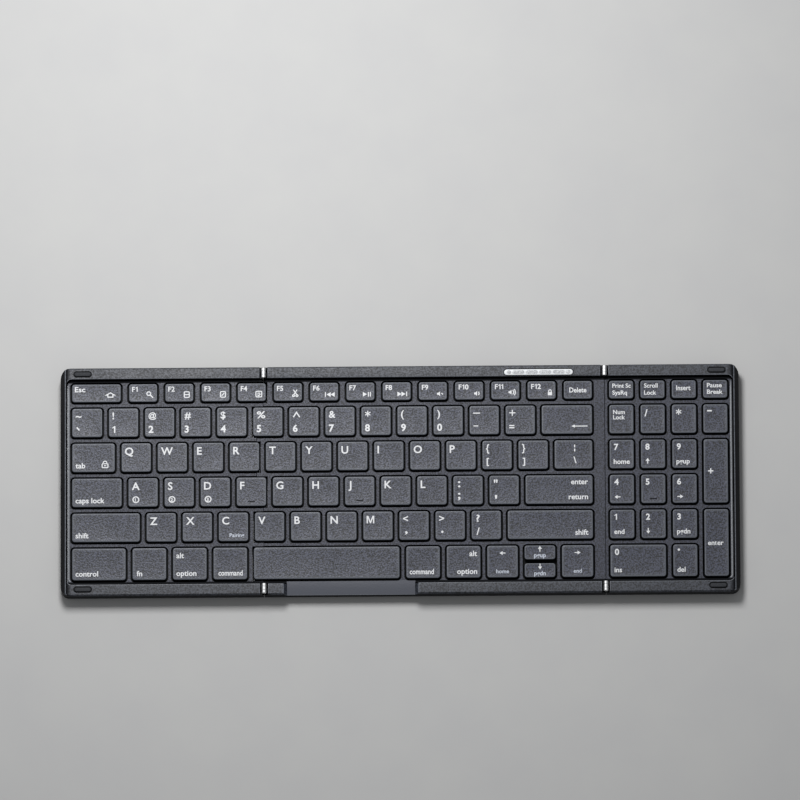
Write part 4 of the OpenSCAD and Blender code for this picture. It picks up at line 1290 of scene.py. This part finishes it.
# %% [markdown]
# Board, battery and socket
#
# The controller board lies behind the right end of the middle section: a green
# laminate with a processor, a shielded radio, a connector and small parts.
# The battery is a foil pouch whose side seams are folded up, with a taped
# terrace for its tabs. The charging socket is a drawn steel shell with a
# rolled lip, round a tongue with gold contacts.

# %% Board, battery and socket
laminate, tree, shader = finish("glass_epoxy_laminate")
grain, tone = mottle(tree, "#123d28", "#1d5a3b", 3.5, 0.46, 0.54)
fill(shader, {"Base Color": tone, "Roughness": 0.35,
              "Normal": add(tree, "Bump", {"Height": grain, "Distance": 0.02 * MM})})
moulding, tree, shader = finish("epoxy_moulding_compound")
grain, tone = mottle(tree, "#131416", "#1e2022", 0.3)
fill(shader, {"Base Color": tone, "Roughness": 0.6})
tinned, tree, shader = finish("tinned_steel")
grain, tone = mottle(tree, "#a9acaf", "#c9cbcd", 0.8)
fill(shader, {"Base Color": tone, "Metallic": 1.0, "Roughness": 0.4})
nylon, tree, shader = finish("ivory_nylon")
grain, tone = mottle(tree, "#cfc8b4", "#ddd7c6", 0.6)
fill(shader, {"Base Color": tone, "Roughness": 0.5, "Subsurface Weight": 0.1})
foil, tree, shader = finish("aluminium_laminate_foil")
grain, tone = mottle(tree, "#8b8f93", "#a6aaad", 2.2)
fill(shader, {"Base Color": tone, "Metallic": 0.85, "Roughness": 0.42,
              "Normal": add(tree, "Bump", {"Height": grain, "Distance": 0.06 * MM})})
tape, tree, shader = finish("amber_polyimide_tape")
grain, tone = mottle(tree, "#9a5a12", "#b3701c", 1.2)
fill(shader, {"Base Color": tone, "Roughness": 0.3})
gold, tree, shader = finish("gold_plated_contact")
grain, tone = mottle(tree, "#c79a45", "#dab262", 0.4)
fill(shader, {"Base Color": tone, "Metallic": 1.0, "Roughness": 0.3})

low, high = corners_of("controller_board")
centre = np.array([(low[0] + high[0]) / 2, (low[1] + high[1]) / 2, low[2]])
board_t = 0.8
stands_for = ["controller_board"]
slot_name = "board_laminate"
size = high - low
piece("laminate", block(*low, size[0], size[1], board_t), [laminate], "middle",
      stands_for)
top_of = centre + [0, 0, board_t]
parts = {"processor": (-8, -4, 7, 7, 0.5, moulding), "radio_can": (3, -5, 9, 8, 0.6, tinned),
         "connector": (-18, 2, 8, 2.5, 0.6, nylon)}
for name, (x, y, w, d, h, material) in parts.items():
    piece(name, block(*(top_of + [x, y, 0]), w, d, h), [material], "middle",
          stands_for)
small = [block(*(top_of + [-18 + 1.8 * k, -5, 0]), 1, 0.6, 0.4) for k in range(5)]
piece("small_parts", joined(small), [nylon], "middle", stands_for)
legs = [block(*(top_of + [-8.35 + 7.4 * far, -3.6 + 0.6 * k, 0]), 0.3, 0.3, 0.12, 0.03)
        for k in range(11) for far in (0, 1)]
piece("processor_legs", joined(legs), [tinned], "middle", stands_for)

low, high = corners_of("battery")
size = high - low
middle = (low + high) / 2
levels = [(0.9, 0), (0.25, 0.12), (0.12, 0.45), (0.12, size[2] - 0.4), (0.35, size[2] - 0.12),
          (1.6, size[2])]
rings = [raised(rounded_ring(size[0] / 2 - 2 - i, size[1] / 2 - i, 2.2, (8, 5), 5), low[2] + z)
         for i, z in levels]
piece("pouch", skin(np.stack(rings) + [middle[0] - 2, middle[1], 0]), [foil], "middle",
      ["battery"])
piece("terrace", joined([block(high[0] - 4, low[1] + 2, low[2] + 0.3, 3.8, size[1] - 4, 0.5),
                         block(high[0] - 3.6, middle[1] - 9, low[2] + 0.8, 3, 18, 0.3)]),
      [tape], "middle", ["battery"])
seams = [block(low[0] + 2, y, low[2] + 0.25, size[0] - 9, 0.12, size[2] - 0.7, 0.03)
         for y in (low[1], high[1] - 0.12)]
piece("folded_seams", joined(seams), [foil], "middle", ["battery"])


def slotted_ring(width, height, inset, y):
    """A stadium outline in the upright plane at y."""
    flat = rounded_ring(width / 2 - inset, height / 2 - inset, height / 2 - inset - 0.02,
                        (5, 1), 8)
    return np.column_stack([flat[:, 0], np.full(len(flat), y), flat[:, 1]])


low, high = corners_of("charging_socket")
middle = (low + high) / 2
wide, deep, tall = high - low
wall = 0.3
path = [(wall, 0.35), (wall, deep), (wall - 0.08, deep + 0), (0.05, deep - 0.05),
        (0, deep - 0.15), (0, 0.05), (0.1, 0)]
shell = np.stack([slotted_ring(wide, tall, i, low[1] + v) for i, v in path])
piece("socket_shell", hoop(shell + [middle[0], 0, middle[2]]), [tinned], "middle",
      ["charging_socket"])
back_wall = np.stack([slotted_ring(wide, tall, 0.15, low[1] + v) for v in (0.05, 0.4)])
tongue = [raised(rounded_ring(3.35 - i, 0.35 - i, 0.3 - i, steps=3), v)
          for i, v in ((0, 0.35), (0, deep - 0.8), (0.12, deep - 0.6))]
tongue = np.stack(tongue)[:, :, [0, 2, 1]] + [middle[0], low[1], middle[2]]
piece("socket_tongue", joined([skin(back_wall + [middle[0], 0, middle[2]]), skin(tongue)]),
      [moulding], "middle", ["charging_socket"])
contacts = [block(middle[0] - 2.6 + 0.5 * k, high[1] - 3.6, middle[2] + 0.34 * up - 0.02,
                  0.28, 2.6, 0.04, 0.01) for k in range(11) for up in (-1, 1)]
piece("socket_contacts", joined(contacts), [gold], "middle",
      ["charging_socket"])
print("inner pieces so far", len(made))

# %% [markdown]
# Screws
#
# Small pan-head machine screws hold the key frames down to the trays, driven
# from below. The head is a turned disc with a cross recess: a loft of rings
# with equal point counts, from the shank over the head's rim to an outline in
# the form of a cross, and down into the recess.

# %% Screws
screw_steel, tree, shader = finish("nickel_plated_steel")
grain, tone = mottle(tree, "#7e8186", "#9da0a5", 0.4)
fill(shader, {"Base Color": tone, "Metallic": 1.0, "Roughness": 0.36})
cross_angle = np.linspace(0, 2 * np.pi, 32, endpoint=False)


def cross_radius(arm, half_arm_w):
    """The outline of a plus sign in each direction: an arm's end or an arm's side,
    whichever is nearer: the smaller of arm / long and half width / short, where
    long and short are the larger and smaller of |cos| and |sin|."""
    long = np.maximum(np.abs(np.cos(cross_angle)), np.abs(np.sin(cross_angle)))
    short = np.minimum(np.abs(np.cos(cross_angle)), np.abs(np.sin(cross_angle)))
    return np.minimum(arm / long, half_arm_w / np.maximum(short, 1e-6))


def screw_shape(a, b):
    """Rings from the shank's tip down to the head, its edge, and into the recess."""
    head_r = (b[0] - a[0]) / 2
    shank_r = 0.7
    neck = a[2] + 0.4
    levels = [(np.full(32, r), z) for r, z in
              ((shank_r - 0.15, b[2]), (shank_r, b[2] - 0.15), (shank_r, neck),
               (head_r, neck), (head_r, a[2] + 0.12), (head_r - 0.14, a[2]))]
    levels += [(cross_radius(0.72, 0.17), a[2]), (cross_radius(0.66, 0.12), a[2] + 0.28)]
    rings = [np.column_stack([r * np.cos(cross_angle), r * np.sin(cross_angle),
                              np.full(32, z)]) for r, z in levels]
    return skin(np.stack(rings) + [(a[0] + b[0]) / 2, (a[1] + b[1]) / 2, 0])


for section in sections:
    node = section + "_screws"
    found = islands(node)
    piece(node + "_steel", joined([screw_shape(a, b) for a, b in found]), [screw_steel],
          bodies[section], [node])
    print(section, "screws:", len(found))

# %% [markdown]
# Switches
#
# Under each cap stand a rubber dome and two crossed links, the scissors that
# keep the cap level. They are drawn at rest, above the membrane. Keys wider than
# about two pitches have two pairs of links.

# %% Domes and links
frame_z = corners_of("left_domes")[0, 2]
roof_z = cap_high - cap_roof
switch_h = roof_z - frame_z
link_bar, link_t = 1.0, 0.7
link_full = (10.1, 8.6)
wide_key = 1.9 * 17.96
# Silicone rubber, moulded: milky and soft.
silicone, tree, shader = finish("milky_silicone_rubber")
grain, tone = mottle(tree, "#cfcfc8", "#dededa", 1.5)
fill(shader, {"Base Color": tone, "Roughness": 0.5, "Subsurface Weight": 0.2})
# Acetal, moulded: white and slippery, so the links slide without grease.
acetal, tree, shader = finish("white_acetal")
grain, tone = mottle(tree, "#c5c6c8", "#d6d7d8", 0.8)
fill(shader, {"Base Color": tone, "Roughness": 0.38})
pad_cap_w = 2 * key_caps["pad_home_keys"][0][2]
link_w = min(link_full[0], pad_cap_w - 2 * (cap_wall + 0.3))


def link_length(half_d):
    """The links' length, which the cap's own walls limit on shallow keys."""
    return min(link_full[1], 2 * half_d - 2 * (cap_wall + 0.3))


def dome_shape(x, y, half_w, half_d):
    """From the inside of the head down the skirt, round the foot and up again."""
    r = min(5, link_length(half_d) - 2 * link_bar - 0.3) / 2
    head = 0.56 * r
    h = switch_h - 0.05
    profile = [(0.05, h - 0.9), (head - 0.3, h - 0.9), (r - 0.6, 0.3), (r - 0.5, 0), (r, 0),
               (r, 0.26), (r - 0.35, 0.34), (head, h - 0.7), (head, h - 0.1),
               (head - 0.1, h), (0.05, h)]
    return lathe(profile, 12, (x, y, frame_z))


def link_shape(x, y, width, length, angle):
    """A rectangular hoop of square bars, tilted about its middle."""
    path = [(0, -link_t / 2), (0, link_t / 2), (link_bar, link_t / 2),
            (link_bar, -link_t / 2)]
    rings = [raised(rounded_ring(width / 2 - i, length / 2 - i, max(0.9 - i, 0.1), steps=2), z)
             for i, z in path]
    points, faces = hoop(np.stack(rings))
    cos, sin = math.cos(angle), math.sin(angle)
    turn_up = np.array([[1, 0, 0], [0, cos, sin], [0, -sin, cos]])
    return points @ turn_up + [x, y, frame_z + switch_h / 2], faces


def scissor_shape(x, y, half_w, half_d):
    """The outer and inner links of a cap and the studs that they turn on. A wide
    cap has two pairs."""
    length = link_length(half_d)
    angle = math.asin((switch_h - link_t - 0.1) / length)
    inner_w = link_w - 2 * (link_bar + 0.2)
    across = [x - half_w / 2, x + half_w / 2] if 2 * half_w > wide_key else [x]
    shapes = []
    for u in across:
        shapes += [link_shape(u, y, link_w, length, angle),
                   link_shape(u, y, inner_w, length, -angle)]
        for side_of in (-1, 1):
            points, faces = lathe([(0.25, -0.5), (0.25, 0.5)], 6)
            middle = [u + side_of * (inner_w + 0.2) / 2, y, frame_z + switch_h / 2]
            shapes.append((points[:, [2, 0, 1]] + middle, faces))
    return joined(shapes)


section_of = {body: section for section, body in bodies.items()}
joint_of = {j["child"]: j for j in frame["joints"]}
kinds = {"domes": (dome_shape, silicone, "dome_rubber"),
         "scissors": (scissor_shape, acetal, "link_plastic")}
for node, caps in key_caps.items():
    joint = joint_of[node]
    section = section_of[joint["parent"]]
    for kind, (shape_of, material, slot_name) in kinds.items():
        thing = piece(f"{node}_{kind}", joined([shape_of(*cap) for cap in caps]), [material],
                      joint["parent"], [f"{section}_{kind}"])
        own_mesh(thing)
print("switches:", 2 * len(key_caps), "pieces, made so far", len(made))

# %% [markdown]
# Stage and light
#
# A pale floor and one soft lamp behind and to the left, like a window. From
# this high angle a level surface mirrors what hangs almost overhead, a little
# to the rear, so the lamp stands there: the left and rear keys shine and the
# front right ones stay dark, as in the photograph. An even pale sky fills the
# shadows.

# %% Floor, lamp and sky
floor_paint, tree, shader = finish("matt_floor_paint")
grain, tone = mottle(tree, "#c6c6c6", "#c9c9c8", 40)
fill(shader, {"Base Color": tone, "Roughness": 0.9})
half = 4.0
floor_mesh = bpy.data.meshes.new("floor")
floor_mesh.from_pydata([(-half, -half, 0), (half, -half, 0), (half, half, 0),
                        (-half, half, 0)], [], [(0, 1, 2, 3)])
floor_mesh.materials.append(floor_paint)
floor = bpy.data.objects.new("floor", floor_mesh)
bpy.context.scene.collection.objects.link(floor)


def lamp(name, spot, target, size, watts):
    """A square area lamp at spot that faces target, in metres."""
    light = bpy.data.lights.new(name, "AREA")
    light.size = size
    light.energy = watts
    holder = bpy.data.objects.new(name, light)
    bpy.context.scene.collection.objects.link(holder)
    away = unit(np.array(spot) - np.array(target))
    across = unit(np.cross([0, 1, 0.01], away))
    facing = np.eye(4)
    facing[:3, :4] = np.stack([across, np.cross(away, across), away, spot], -1)
    holder.matrix_world = Matrix(facing)
    holder.visible_camera = False
    return holder


window = lamp("window", (-0.11, 0.38, 0.6), (-0.06, 0.02, 0), 0.28, 4.4)
world = bpy.data.worlds.new("sky")
bpy.context.scene.world = world
world.use_nodes = True
sky = world.node_tree.nodes["Background"]
sky.inputs["Color"].default_value = colour("#f4f6f8")
sky.inputs["Strength"].default_value = 0.24
bpy.context.scene.view_settings.view_transform = "Standard"
print("lamp", window.data.energy, "W, sky", sky.inputs["Strength"].default_value)
